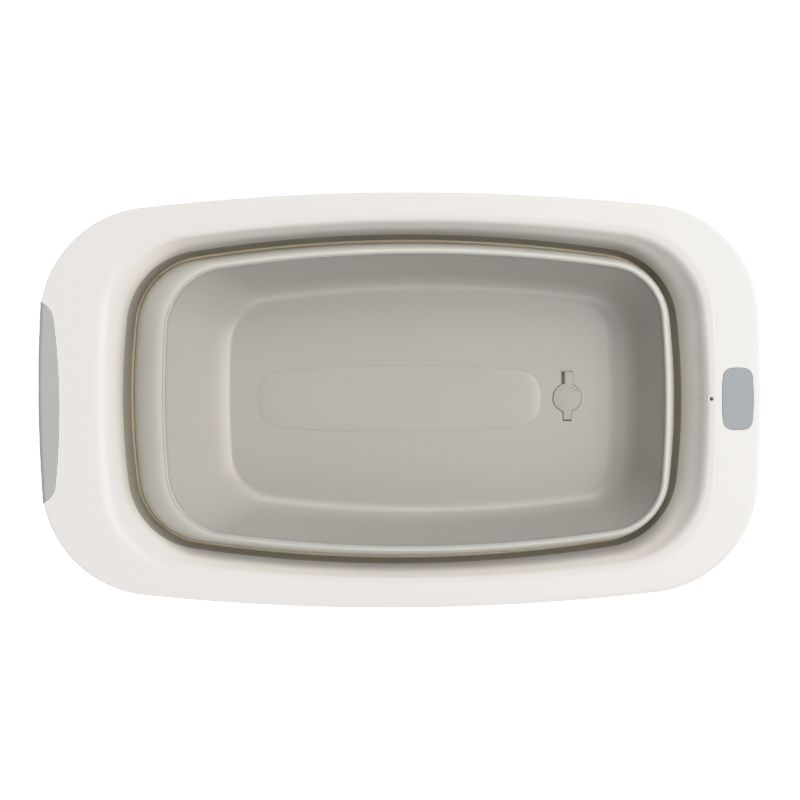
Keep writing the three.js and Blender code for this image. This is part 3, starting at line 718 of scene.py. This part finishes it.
def moulded(name):
    """A moulded plastic or rubber."""
    colour, roughness, grain, grain_height, drift = FINISHES[name]
    material, shader = new_material(name)
    place = shader_node(material, "TexCoord", {})["Object"]

    def noise(width, detail, rough_share=0.5):
        inputs = {"Vector": place, "Scale": 1 / (width * MM), "Detail": detail, "Roughness": rough_share}
        return shader_node(material, "TexNoise", inputs)["Fac"]

    def ranged(value, span, to_low, to_high):
        inputs = {"Value": value, "To Min": to_low, "To Max": to_high}
        inputs["From Min"], inputs["From Max"] = span
        return shader_node(material, "MapRange", inputs)["Result"]

    def summed(first, second):
        return shader_node(material, "Math", {0: first, 1: second}, operation="ADD")["Value"]

    def mixed(share, first, second):
        inputs = {"A": first, "B": second, "Factor": share}
        return shader_node(material, "Mix", inputs, data_type="RGBA")["Result"]

    share = ranged(noise(DRIFT.width, DRIFT.detail), NOISE_RANGE, 0, 1)
    looks = mixed(share, tinted(colour, 1 - drift), tinted(colour, 1 + drift))
    # Painted shade: the colour turns darker and warmer towards the crease and fades out up to the lip.
    if name in CREASE_SHADE_COLOURS:
        height = shader_node(material, "SeparateXYZ", {"Vector": place})["Z"]
        shade_fade = ranged(height, (CUFF_BOTTOM * MM, LIP_TOP * MM), 0, 1)
        looks = mixed(shade_fade, tinted(CREASE_SHADE_COLOURS[name]), looks)

    edges = shader_node(material, "NewGeometry", {})["Pointiness"]
    smears = noise(SMEAR.width, SMEAR.detail, ROUGH_SHARE)
    smears = ranged(smears, NOISE_RANGE, roughness - SMEAR.change, roughness + SMEAR.change)
    specks = ranged(noise(grain, SPECK.detail), NOISE_RANGE, -SPECK.change, SPECK.change)
    finish = summed(summed(smears, specks), ranged(edges, EDGE_RANGE, 0, -RUB))
    height = noise(grain, GRAIN_DETAIL, ROUGH_SHARE)
    bump = shader_node(material, "Bump", {"Strength": 1, "Distance": grain_height * MM, "Height": height})
    feed(material, shader, {"Base Color": looks, "Roughness": finish, "Normal": bump["Normal"]})
    return material


materials = {name: moulded(name) for name in FINISHES}


# The legs' own frame: the hinge is at the origin, the folded leg lies along X, and Y is the hinge's axis

def joint(name):
    return next(one for one in frame["joints"] if one["name"] == name)


LIFT = joint("rim_lift")["range_m"][1] / MM
LEG_AXIS_Z = joint("leg_swing_head_left")["pos_m"][2] / MM
LEG_REACH = LEG_AXIS_Z + LIFT
LEG_CORNERS = ("head_left", "head_right", "foot_left", "foot_right")


def leg_frame(corner):
    hinge = joint(f"leg_swing_{corner}")
    axis = Vector(hinge["axis"]).normalized()
    along = axis.cross(Vector((0, 0, 1)))
    axes = Matrix((along, axis, (0, 0, 1))).transposed().to_4x4()
    axes.translation = Vector(hinge["pos_m"]) / MM
    return axes


def outer_sign(corner):
    """Which way along the hinge's axis the skirt lies from a leg."""
    return 1 if corner in ("head_left", "foot_right") else -1


def pin_bore(half):
    """The tool for the hole that a pin goes through."""
    return plate("bore", circle(PIN.radius + GAP, STEPS.hole), [(0, -half), (0, half)], crosswise=True)


def leg_moulding(corner):
    """A leg: a plate with a round root, a bore for its pin and a row of pockets in its outer face."""
    tip = LEG_REACH - SHOE.length + SHOE.socket - GAP
    root = arc((0, 0), LEG.root_radius, math.pi / 2, 3 * math.pi / 2, STEPS.leg_root)
    plan = [*root, (0, -LEG.root_radius), (tip, -LEG.tip_half_width), (tip, LEG.tip_half_width)]
    half = LEG.thickness / 2
    sides = rounded_profile(-half, half, LEG.edge)
    name = f"leg_moulding_{corner}"
    piece = plate(name, filleted(plan, LEG.edge), sides, middle=(LEG.root_radius, 0), crosswise=True)
    last = LEG_REACH - SHOE.length - LEG.pocket_wall
    pitch = (last - LEG_POCKETS.first) / LEG_POCKETS.count
    half_width = LEG.tip_half_width - LEG.pocket_wall
    face = outer_sign(corner) * half
    floor = outer_sign(corner) * (half - LEG.pocket_depth)
    profile = pocket_profile(floor, face, LEG_POCKETS.flare, LEG_POCKETS.floor_edge)
    for i in range(LEG_POCKETS.count):
        start = LEG_POCKETS.first + i * pitch + LEG.pocket_wall / 2
        pocket = rectangle(start, start + pitch - LEG.pocket_wall, -half_width, half_width)
        cut(piece, plate("pocket", filleted(pocket, LEG_POCKETS.corner), profile, crosswise=True))
    cut(piece, pin_bore(half + OVERRUN))
    return turned(piece, leg_frame(corner))


def shoe_moulding(corner):
    """The soft shoe on a leg's tip, with its socket and the grooves across its sole."""
    start = LEG_REACH - SHOE.length
    half = SHOE.thickness / 2
    sides = rectangle(start, LEG_REACH, -SHOE.half_width, SHOE.half_width)
    rounded = filleted(sides, SHOE.corner, STEPS.shoe_corner)
    tip = [point for point in rounded if point[0] > start + SHOE.corner]
    plan = filleted([(start, -SHOE.half_width), *tip, (start, SHOE.half_width)], SHOE.edge)
    profile = rounded_profile(-half, half, SHOE.edge)
    middle = (start + SHOE.corner, 0)
    piece = plate(f"shoe_moulding_{corner}", plan, profile, middle, crosswise=True)
    hole_half = LEG.tip_half_width + 2 * GAP
    hole = rectangle(start - SHOE.socket, start + SHOE.socket, -hole_half, hole_half)
    reach = LEG.thickness / 2 + GAP
    cut(piece, plate("socket", filleted(hole, LEG.edge), [(0, -reach), (0, reach)], crosswise=True))
    for z in (-SHOE.half_width / 2, 0, SHOE.half_width / 2):
        low = (LEG_REACH - SHOE.groove, -half - OVERRUN, z - SHOE.groove)
        high = (LEG_REACH + OVERRUN, half + OVERRUN, z + SHOE.groove)
        cut(piece, block("groove", low, high, SHOE.groove / 2))
    return turned(piece, leg_frame(corner))


def pin_moulding(corner):
    """The pin through a leg and its ears: a chamfered tail, a shank and a domed head with a dimple."""
    head = PIN_SPAN + GAP
    top = head + PIN.head_length
    tail = -PIN_SPAN - PIN.tail
    profile = [
        (PIN.radius - PIN.edge, tail),
        (PIN.radius, tail + PIN.edge),
        (PIN.radius, head),
        (PIN.head_radius, head),
    ]
    for inset, drop in rounding(PIN.edge, STEPS.pin_head):
        profile.append((PIN.head_radius - 3 * inset, top - 2 * drop))
    profile += [(PIN.radius / 2, top), (PIN.radius / 4, top - PIN.edge / 2)]
    piece = lathe(f"pin_moulding_{corner}", profile, STEPS.pin)
    turn = Matrix.Rotation(outer_sign(corner) * math.pi / 2, 4, "X")
    return turned(piece, leg_frame(corner) @ turn)


# The rim, with the ribs across its channel and the ears that hold the legs' pins

def ear_pair(corner):
    """The two ears that hold a leg's pin."""
    rise = RIM_TOP - RIM.wall / 2 - LEG_AXIS_Z
    below = arc((0, 0), EAR.radius, math.pi, 2 * math.pi, STEPS.ear)
    plan = [(EAR.radius, rise), (-EAR.radius, rise), *below]
    inner = LEG.thickness / 2 + EAR.gap
    ears = []
    for sign in (-1, 1):
        heights = sorted((sign * inner, sign * PIN_SPAN))
        ear = plate("ear", plan, rounded_profile(*heights, EAR.edge), middle=(0, 0), crosswise=True)
        cut(ear, pin_bore(PIN_SPAN))
        ears.append(turned(ear, leg_frame(corner)))
    return ears


def rim_ribs():
    """Two ribs across the channel at each end of the rim, and two on each long side."""
    high = RIM_TOP - RIM.wall / 2
    low = high - RIB.drop
    half = RIB.thickness / 2
    ribs = []
    for x_sign, end in ((-1, "head"), (1, "foot")):
        ends = sorted((x_sign * wall_foot[end], x_sign * rim_edge[end]))
        x = x_sign * RIB.side_x
        for y_sign in (-1, 1):
            y = y_sign * RIB.end_y
            sides = sorted((y_sign * wall_foot["side"], y_sign * rim_edge["side"]))
            ribs.append(block("rib", (ends[0], y - half, low), (ends[1], y + half, high), EAR.edge))
            ribs.append(block("rib", (x - half, sides[0], low), (x + half, sides[1], high), EAR.edge))
    return ribs


def hang_hole():
    """The tool for the small hole in the shelf, with a rounded rim, and the cup that the hole ends in."""
    place = (shelf_edge["foot"] - HANG_HOLE.shelf_inset, 0)
    foot = RIM_TOP - HANG_HOLE.depth
    hole_plan = circle(HANG_HOLE.radius, STEPS.hole, place)
    hole = plate("hole", hole_plan, pocket_profile(foot, RIM_TOP, HANG_HOLE.flare))
    cup_plan = circle(HANG_HOLE.radius + HANG_HOLE.wall, STEPS.hole, place)
    cup_profile = rounded_profile(foot - HANG_HOLE.wall, RIM_TOP - RIM.wall, HANG_HOLE.flare)
    return hole, plate("cup", cup_plan, cup_profile)


def drip_groove():
    """The tools for the faint groove down the inner wall from the hole, and for the mark at its top."""
    lift = Vector((-DRIP_GROOVE.lift, 0, 0))
    top = Vector((round_foot["foot"], 0, RIM_TOP - RIM.bend)) + lift
    wall = Vector((wall_foot["foot"], 0, WALL_FOOT_Z)) + lift
    tools = [rod("groove", top.lerp(wall, 1 - DRIP_GROOVE.start_share), top, DRIP_GROOVE.radius)]
    for side in (-1, 1):
        back = top.lerp(wall, DRIP_GROOVE.mark / (top - wall).length)
        back.y += side * DRIP_GROOVE.mark
        tools.append(rod("mark", top, back, DRIP_GROOVE.mark_radius))
    return tools


def slit(side):
    """The tool for a fine slit along the shelf's inner edge at the foot end."""
    x, y = shelf_edge["foot"], side * SLIT.y
    half = SLIT.width / 2
    plan = rectangle(x - half, x + half, y - SLIT.length / 2, y + SLIT.length / 2)
    profile = pocket_profile(RIM_TOP - SLIT.depth, RIM_TOP, half / 2, half / 2)
    return plate("slit", filleted(plan, half), profile)


def rim_inlays(kind, sides):
    """The grip and the label pad, or the tools for their pockets."""
    grip = inlay(f"grip_{kind}", grip_shape, grip_surface, sides, STEPS.grip_rings)
    return grip, inlay(f"label_{kind}", label_shape, label_surface, sides, STEPS.label_rings)


def rim_moulding():
    channel = loop_mesh("channel", rim_outer(RIM.wall / 2) + rim_inner(RIM.wall / 2))
    braces = rim_ribs()
    for corner in LEG_CORNERS:
        braces += ear_pair(corner)
    piece = loop_mesh("rim_moulding", rim_section())
    hole, cup = hang_hole()
    joined(piece, combined(gathered("braces", braces), channel, "INTERSECT"), cup)
    pockets = rim_inlays("pocket", pocket_sides(PAD.thickness, PAD.pocket_flare))
    cut(piece, *pockets, hole, *drip_groove(), slit(-1), slit(1))
    return evened(piece)


# The tray, with the plug's seat, the pocket of the long pad, the sockets of its feet and the drain's boss

def keyhole_plan(radius, strap_sides, strap_end, tab_root, tab_tip, tab_end):
    """A disc with a strap leading one way from it and a tab the other way, drawn about the disc's middle."""
    low, high = strap_sides
    tab_turn = math.acos(tab_root / radius)
    right = arc((0, 0), radius, -tab_turn, math.acos(high / radius), STEPS.keyhole, with_end=True)
    left = arc((0, 0), radius, math.acos(low / radius), math.pi + tab_turn, STEPS.keyhole, with_end=True)
    strap = [[high, strap_end], [low, strap_end]]
    tab = [[-tab_tip, -tab_end], [tab_tip, -tab_end]]
    return np.concatenate([right, strap, left, tab])


def drain_boss():
    """The thick ring round the drain, and the bar that backs the strap's slot and the finger notch."""
    low, high = TRAY_BOTTOM - DRAIN.boss_drop, TRAY_BOTTOM + TRAY.floor / 2
    plan = circle(SEAT_RADIUS + DRAIN.boss_wall, STEPS.disc, (DRAIN_X, 0))
    half = STRAP_SLOT / 2 + TRAY.wall
    bottom = (DRAIN_X - half, -PLUG.tab_reach - DRAIN.bar_margin, low)
    top = (DRAIN_X + half, STRAP_REACH + DRAIN.bar_margin, high)
    return [
        plate("boss", plan, rounded_profile(low, high, UNDER_RIB.edge)),
        block("bar", bottom, top, UNDER_RIB.edge, TRAY.wall),
    ]


def plug_pocket():
    """The tools for the recess that takes the plug, its strap and its tab, and for the drain hole."""
    half = STRAP_SLOT / 2
    strap_end = STRAP_REACH + GAP
    tab_end = PLUG.tab_reach + PLUG.tab_notch
    root, tip = TAB_ROOT_HALF + DRAIN.seat_gap, TAB_TIP_HALF + DRAIN.seat_gap
    plan = keyhole_plan(SEAT_RADIUS, (-half, half), strap_end, root, tip, tab_end) + (DRAIN_X, 0)
    seat_profile = pocket_profile(SEAT_Z, FLOOR_TOP, DRAIN.flare)
    start = math.sqrt(SEAT_RADIUS**2 - half**2)
    slot_x = DRAIN_X - half
    slot = rectangle(slot_x, slot_x + PLUG.side_slot, start, strap_end - PLUG.anchor_length)
    notch = rectangle(DRAIN_X - tip, DRAIN_X + tip, -tab_end, -PLUG.tab_reach - GAP)
    deep = [(0, FLOOR_TOP - PLUG.slot_depth), (0, SEAT_Z + DRAIN.flare)]
    bore_foot = TRAY_BOTTOM - DRAIN.boss_drop - OVERRUN
    bore = circle(DRAIN.bore, STEPS.socket, (DRAIN_X, 0))
    return [
        plate("seat", filleted(plan, PLUG.corner), seat_profile, middle=(DRAIN_X, 0)),
        plate("slot", slot, deep),
        plate("notch", notch, deep),
        plate("bore", bore, pocket_profile(bore_foot, SEAT_Z, DRAIN.flare)),
    ]


def under_rib():
    """The stiffening ring under the tray's floor, with its lower edge rounded."""
    line = grown(floor_edge, -UNDER_RIB.inset)
    low, high = TRAY_BOTTOM - UNDER_RIB.drop, TRAY_BOTTOM + TRAY.floor / 2
    side = rounded_profile(low, high, UNDER_RIB.edge)[:STEPS.edge + 1] + [(0, high)]
    outside = [(grown(line, -inset), z) for inset, z in side]
    inside = [(grown(line, inset - UNDER_RIB.width), z) for inset, z in side]
    return loop_mesh("under_rib", outside + inside[::-1])


def base_pad_place(corner):
    low, high = node_box(f"base_pad_{corner}")
    return (low.x + high.x) / 2, (low.y + high.y) / 2


def tray_moulding():
    wet, dry = tray_face(), tray_face(TRAY.wall)[::-1]
    piece = capped_mesh("tray_moulding", outline_rings(dry + wet), (0, 0, TRAY_BOTTOM), (0, 0, FLOOR_TOP))
    joined(piece, under_rib(), *drain_boss())
    sides = pocket_sides(FLOOR_PAD.thickness, FLOOR_PAD.edge)
    cut(piece, inlay("pocket", floor_pad_shape, floor_surface, sides, STEPS.floor_rings), *plug_pocket())
    profile = pocket_profile(BASE_PAD_TOP, TRAY_BOTTOM, DRAIN.flare)
    for corner in LEG_CORNERS:
        plan = circle(BASE_PAD.radius + GAP, STEPS.socket, base_pad_place(corner))
        cut(piece, plate("socket", plan, profile))
    return evened(piece)


def plug_moulding():
    """The plug: a disc and stem, a strap with the knuckle it turns on, a finger tab and a raised mark."""
    middle = DRAIN_X + PLUG.shift
    strap = [STRAP_X - DRAIN_X + side * PLUG.strap_width / 2 for side in (-1, 1)]
    tab = (TAB_ROOT_HALF, TAB_TIP_HALF, PLUG.tab_reach)
    plan = keyhole_plan(PLUG.radius, strap, PLUG.hinge_reach, *tab) + (middle, 0)
    profile = rounded_profile(PLUG_TOP - PLUG.strap_thickness, PLUG_TOP, PLUG.edge)
    piece = plate("plug_moulding", filleted(plan, PLUG.corner), profile, middle=(middle, 0))
    stem = DRAIN.bore - PLUG.stem_gap
    stem_foot = stem - PLUG.stem_taper
    stem_low = SEAT_Z - PLUG.stem_drop
    disc = PLUG.radius - PLUG.edge / 2
    under = lathe("under", [
        (stem_foot - PLUG.stem_edge, stem_low),
        (stem_foot, stem_low + PLUG.stem_edge),
        (stem, SEAT_Z),
        (disc - PLUG.edge, SEAT_Z),
        (disc, SEAT_Z + PLUG.edge),
        (disc, PLUG_TOP - PLUG.strap_thickness / 2),
    ], STEPS.disc, (middle, 0, 0))
    knuckle = PLUG.strap_thickness / 2
    hinge = [
        (middle + strap[0] + knuckle, PLUG.hinge_reach, PLUG_TOP - knuckle),
        (middle + strap[1] - knuckle, PLUG.hinge_reach, PLUG_TOP - knuckle),
    ]
    joined(piece, under, rod("knuckle", *hinge, knuckle))
    mark_z = PLUG_TOP - PLUG_MARK.radius + PLUG_MARK.proud
    peak = (middle, PLUG_MARK.peak_y, mark_z)
    for x, y in (PLUG_MARK.left, PLUG_MARK.right):
        joined(piece, rod("mark", peak, (middle + x, y, mark_z), PLUG_MARK.radius))
    return piece


def base_pad(corner):
    """A soft foot: a disc with a rounded lower edge and rings pressed into its sole."""
    profile = [(BASE_PAD.groove, 0)]
    for middle in BASE_PAD.ring_radii:
        for reach, z in ((-2, 0), (-1, 1), (1, 1), (2, 0)):
            profile.append((middle + reach * BASE_PAD.groove, z * BASE_PAD.groove))
    sole = rounded_profile(0, BASE_PAD_TOP, BASE_PAD.edge, STEPS.pad_edge)
    profile += [(BASE_PAD.radius - inset, z) for inset, z in sole]
    return lathe(f"base_pad_moulding_{corner}", profile, STEPS.disc, (*base_pad_place(corner), 0))


# The pieces in their places

def anchor_moulding():
    """The fixed end of the plug's strap, which fills the recess beside it."""
    margin = DRAIN.flare + SEAM
    reach = STRAP_SLOT / 2 + margin
    end = STRAP_REACH + GAP + margin
    low = (DRAIN_X - reach, strap_low.y, strap_low.z)
    high = (DRAIN_X + reach, end, FLOOR_TOP + SEAM / 2)
    return block("anchor_moulding", low, high, SEAM / 2)


def add_pads():
    grip, label = rim_inlays("moulding", pad_sides(PAD.thickness, PAD.edge, PAD.proud))
    dressed(grip, "rim", "grip_rubber", "grip_rubber", "head_grip_pad")
    dressed(label, "rim", "grip_rubber", "label_rubber", "foot_label_pad")
    sides = pad_sides(FLOOR_PAD.thickness, FLOOR_PAD.edge, grow=FLOOR_PAD.grow)
    floor_pad = inlay("floor_pad_moulding", floor_pad_shape, floor_surface, sides, STEPS.floor_rings)
    dressed(floor_pad, "tray", "tray_plastic", "tray_polypropylene", "floor_grip_pad")


def add_pieces():
    dressed(rim_moulding(), "rim", "rim_plastic", "white_polypropylene", "rim_shell")
    dressed(loop_mesh("cuff_moulding", cuff_section()), "rim", "soft_band", "soft_band", "band_cuff")
    # The bead's tan colour is painted light shining through the crease.
    dressed(loop_mesh("crease_bead_painted_light", crease_section()), "rim", "soft_band", "crease_bead_painted_light")
    dressed(loop_mesh("lip_roll", bead_section()), "tray", "soft_band", "lip_roll", "lip_bead")
    dressed(tray_moulding(), "tray", "tray_plastic", "tray_polypropylene", "tray_shell")
    add_pads()
    dressed(plug_moulding(), "plug", "soft_band", "plug_rubber", "drain_plug")
    dressed(anchor_moulding(), "tray", "soft_band", "plug_rubber", "plug_anchor")
    for corner in LEG_CORNERS:
        body = f"leg_{corner}"
        dressed(base_pad(corner), "tray", "grip_rubber", "foot_rubber", f"base_pad_{corner}")
        dressed(leg_moulding(corner), body, "leg_plastic", "leg_polypropylene", f"leg_{corner}")
        dressed(shoe_moulding(corner), body, "grip_rubber", "foot_rubber", f"leg_shoe_{corner}")
        dressed(pin_moulding(corner), "rim", "leg_plastic", "pin_polyoxymethylene", f"leg_pin_{corner}")


def add_band():
    """The folding band at rest, reaching from the rim at its foot to the tray at its lip."""
    band = loop_mesh("band_membrane", band_section())
    band.data.materials.append(materials["soft_band"])
    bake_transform(band)
    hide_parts("folding_band")


# The camera stands straight above the tub, leans a little and is turned a little on its axis.

CAMERA_DISTANCE = 1500
CAMERA_LEAN = math.radians(1.4)
CAMERA_ROLL = math.radians(0.32)
CAMERA_LENS = 59.6
CAMERA_SIDESTEP = (0.7, 0.8)

# The studio, and its glow around the tub and the lower glow under it, which on the floor that the camera sees
# is a painted shadow. The two blend between these shares of the rim's reach.
STUDIO_REACH = 9000
GROUND_SHADE = 0.9
STUDIO_ROUGHNESS = 0.9
GROUND_GLOW = 0.35
BACKDROP_GLOW = 2
UNDER_TUB_SHADOW_GLOW = 0.55
SHADOW_FADE_SHARES = (0.5, 1.08)

# The azimuth and elevation of each softbox in degrees, and its power in watts
SOFTBOXES = (
    (0, 25, 62),
    (45, 40, 18),
    (90, 40, 74),
    (180, 40, 15),
    (225, 40, 13),
    (270, 40, 53),
    (0, 60, 110),
    (90, 60, 24),
)
SOFTBOX_SIZE = 2600
SOFTBOX_DISTANCE = 4400
SKY_COLOUR = (1.0, 0.995, 0.985)
SKY_STRENGTH = 0.005

# The picture's response: the light that shows as full white, and what other lights show as in each channel
TONE_WHITE = 1.7
TONE_POINTS = (
    (0.25, (0.25, 0.25, 0.25)),
    (0.5, (0.51, 0.51, 0.505)),
    (0.6, (0.65, 0.64, 0.63)),
    (0.7, (0.76, 0.745, 0.725)),
    (0.8, (0.8, 0.78, 0.76)),
    (0.95, (0.81, 0.787, 0.764)),
    (1.05, (0.83, 0.81, 0.79)),
    (1.2, (0.895, 0.89, 0.868)),
    (1.35, (0.94, 0.938, 0.925)),
)


def add_camera():
    lean = Matrix.Rotation(-CAMERA_LEAN, 4, "X")
    place = Vector((0, 0, RIM_TOP)) + lean @ Vector((*CAMERA_SIDESTEP, CAMERA_DISTANCE))
    data = bpy.data.cameras.new("camera")
    data.lens = CAMERA_LENS
    camera = linked("camera", data)
    camera.matrix_world = Matrix.Translation(place * MM) @ lean @ Matrix.Rotation(-CAMERA_ROLL, 4, "Z")
    bpy.context.scene.camera = camera


def stage_piece(name, corners, faces, shade, glow):
    """A piece of the studio, in a plain material that glows."""
    mesh = bpy.data.meshes.new(name)
    mesh.from_pydata([Vector(corner) * MM for corner in corners], [], faces)
    piece = linked(name, mesh)
    material, shader = new_material(name)
    feed(material, shader, {
        "Base Color": (shade, shade, shade, 1),
        "Roughness": STUDIO_ROUGHNESS,
        "Specular IOR Level": 0,
        "Emission Color": (1, 1, 1, 1),
        "Emission Strength": glow,
    })
    mesh.materials.append(material)
    return piece


def dim_under_tub(piece, shadow_glow, glow):
    """Lets a floor glow less under the tub than around it. On the floor that the camera sees, this is a
    painted soft shadow under the tub.
    """
    material = piece.active_material
    place = shader_node(material, "TexCoord", {})["Object"]
    rim_reach = (rim_high.x * MM, rim_high.y * MM, 1)
    share = shader_node(material, "VectorMath", {0: place, 1: rim_reach}, operation="DIVIDE")["Vector"]
    length = shader_node(material, "VectorMath", {0: share}, operation="LENGTH")["Value"]
    low, high = SHADOW_FADE_SHARES
    shade_fade = {"Value": length, "From Min": low, "From Max": high, "To Min": shadow_glow, "To Max": glow}
    strength = shader_node(material, "MapRange", shade_fade, interpolation_type="SMOOTHSTEP")["Result"]
    feed(material, material.node_tree.nodes["Principled BSDF"], {"Emission Strength": strength})


def for_camera_only(piece):
    """Leaves a piece out of the light on everything else."""
    for ray in ("diffuse", "glossy", "transmission", "shadow"):
        setattr(piece, f"visible_{ray}", False)


def add_studio():
    """A pale ground that lights the tub, and a white floor and wall that only the camera sees. The floor has
    a painted shadow under the tub.
    """
    plan = rectangle(-STUDIO_REACH, STUDIO_REACH, -STUDIO_REACH, STUDIO_REACH)
    floor_corners = [(x, y, 0) for x, y in plan]
    top_corners = [(x, y, STUDIO_REACH) for x, y in plan]
    square = [(0, 1, 2, 3)]
    sides = [(i, (i + 1) % 4, 4 + (i + 1) % 4, 4 + i) for i in range(4)]
    ground = stage_piece("studio_ground", floor_corners, square, GROUND_SHADE, GROUND_GLOW)
    dim_under_tub(ground, 0, GROUND_GLOW)
    ground.visible_camera = False
    floor = stage_piece("studio_floor", floor_corners, square, 0, BACKDROP_GLOW)
    # Painted shadow: the floor that the camera sees glows less under the tub.
    dim_under_tub(floor, UNDER_TUB_SHADOW_GLOW, BACKDROP_GLOW)
    for_camera_only(floor)
    for_camera_only(stage_piece("studio_wall", floor_corners + top_corners, sides, 0, BACKDROP_GLOW))


def add_softbox(azimuth, elevation, power):
    """A square softbox that faces the tub."""
    azimuth, elevation = math.radians(azimuth), math.radians(elevation)
    level = math.cos(elevation)
    way = Vector((math.cos(azimuth) * level, math.sin(azimuth) * level, math.sin(elevation)))
    data = bpy.data.lights.new("softbox", "AREA")
    data.size = SOFTBOX_SIZE * MM
    data.energy = power
    lamp = linked("softbox", data)
    lamp.location = way * SOFTBOX_DISTANCE * MM
    lamp.rotation_euler = way.to_track_quat("Z", "Y").to_euler()
    lamp.visible_camera = False


def add_light():
    for softbox in SOFTBOXES:
        add_softbox(*softbox)
    world = bpy.data.worlds.new("studio")
    bpy.context.scene.world = world
    world.use_nodes = True
    feed(world, world.node_tree.nodes["Background"], {"Color": (*SKY_COLOUR, 1), "Strength": SKY_STRENGTH})


def set_tone_curve():
    """The picture's response, with a soft shoulder that keeps white plastic below full white."""
    settings = bpy.context.scene.view_settings
    settings.view_transform = "Standard"
    settings.use_curve_mapping = True
    mapping = settings.curve_mapping
    mapping.white_level = (TONE_WHITE, TONE_WHITE, TONE_WHITE)
    for light, shades in TONE_POINTS:
        for channel, shown in enumerate(shades):
            mapping.curves[channel].points.new(light / TONE_WHITE, shown)
    mapping.update()


add_pieces()
add_band()
add_camera()
add_studio()
add_light()
set_tone_curve()
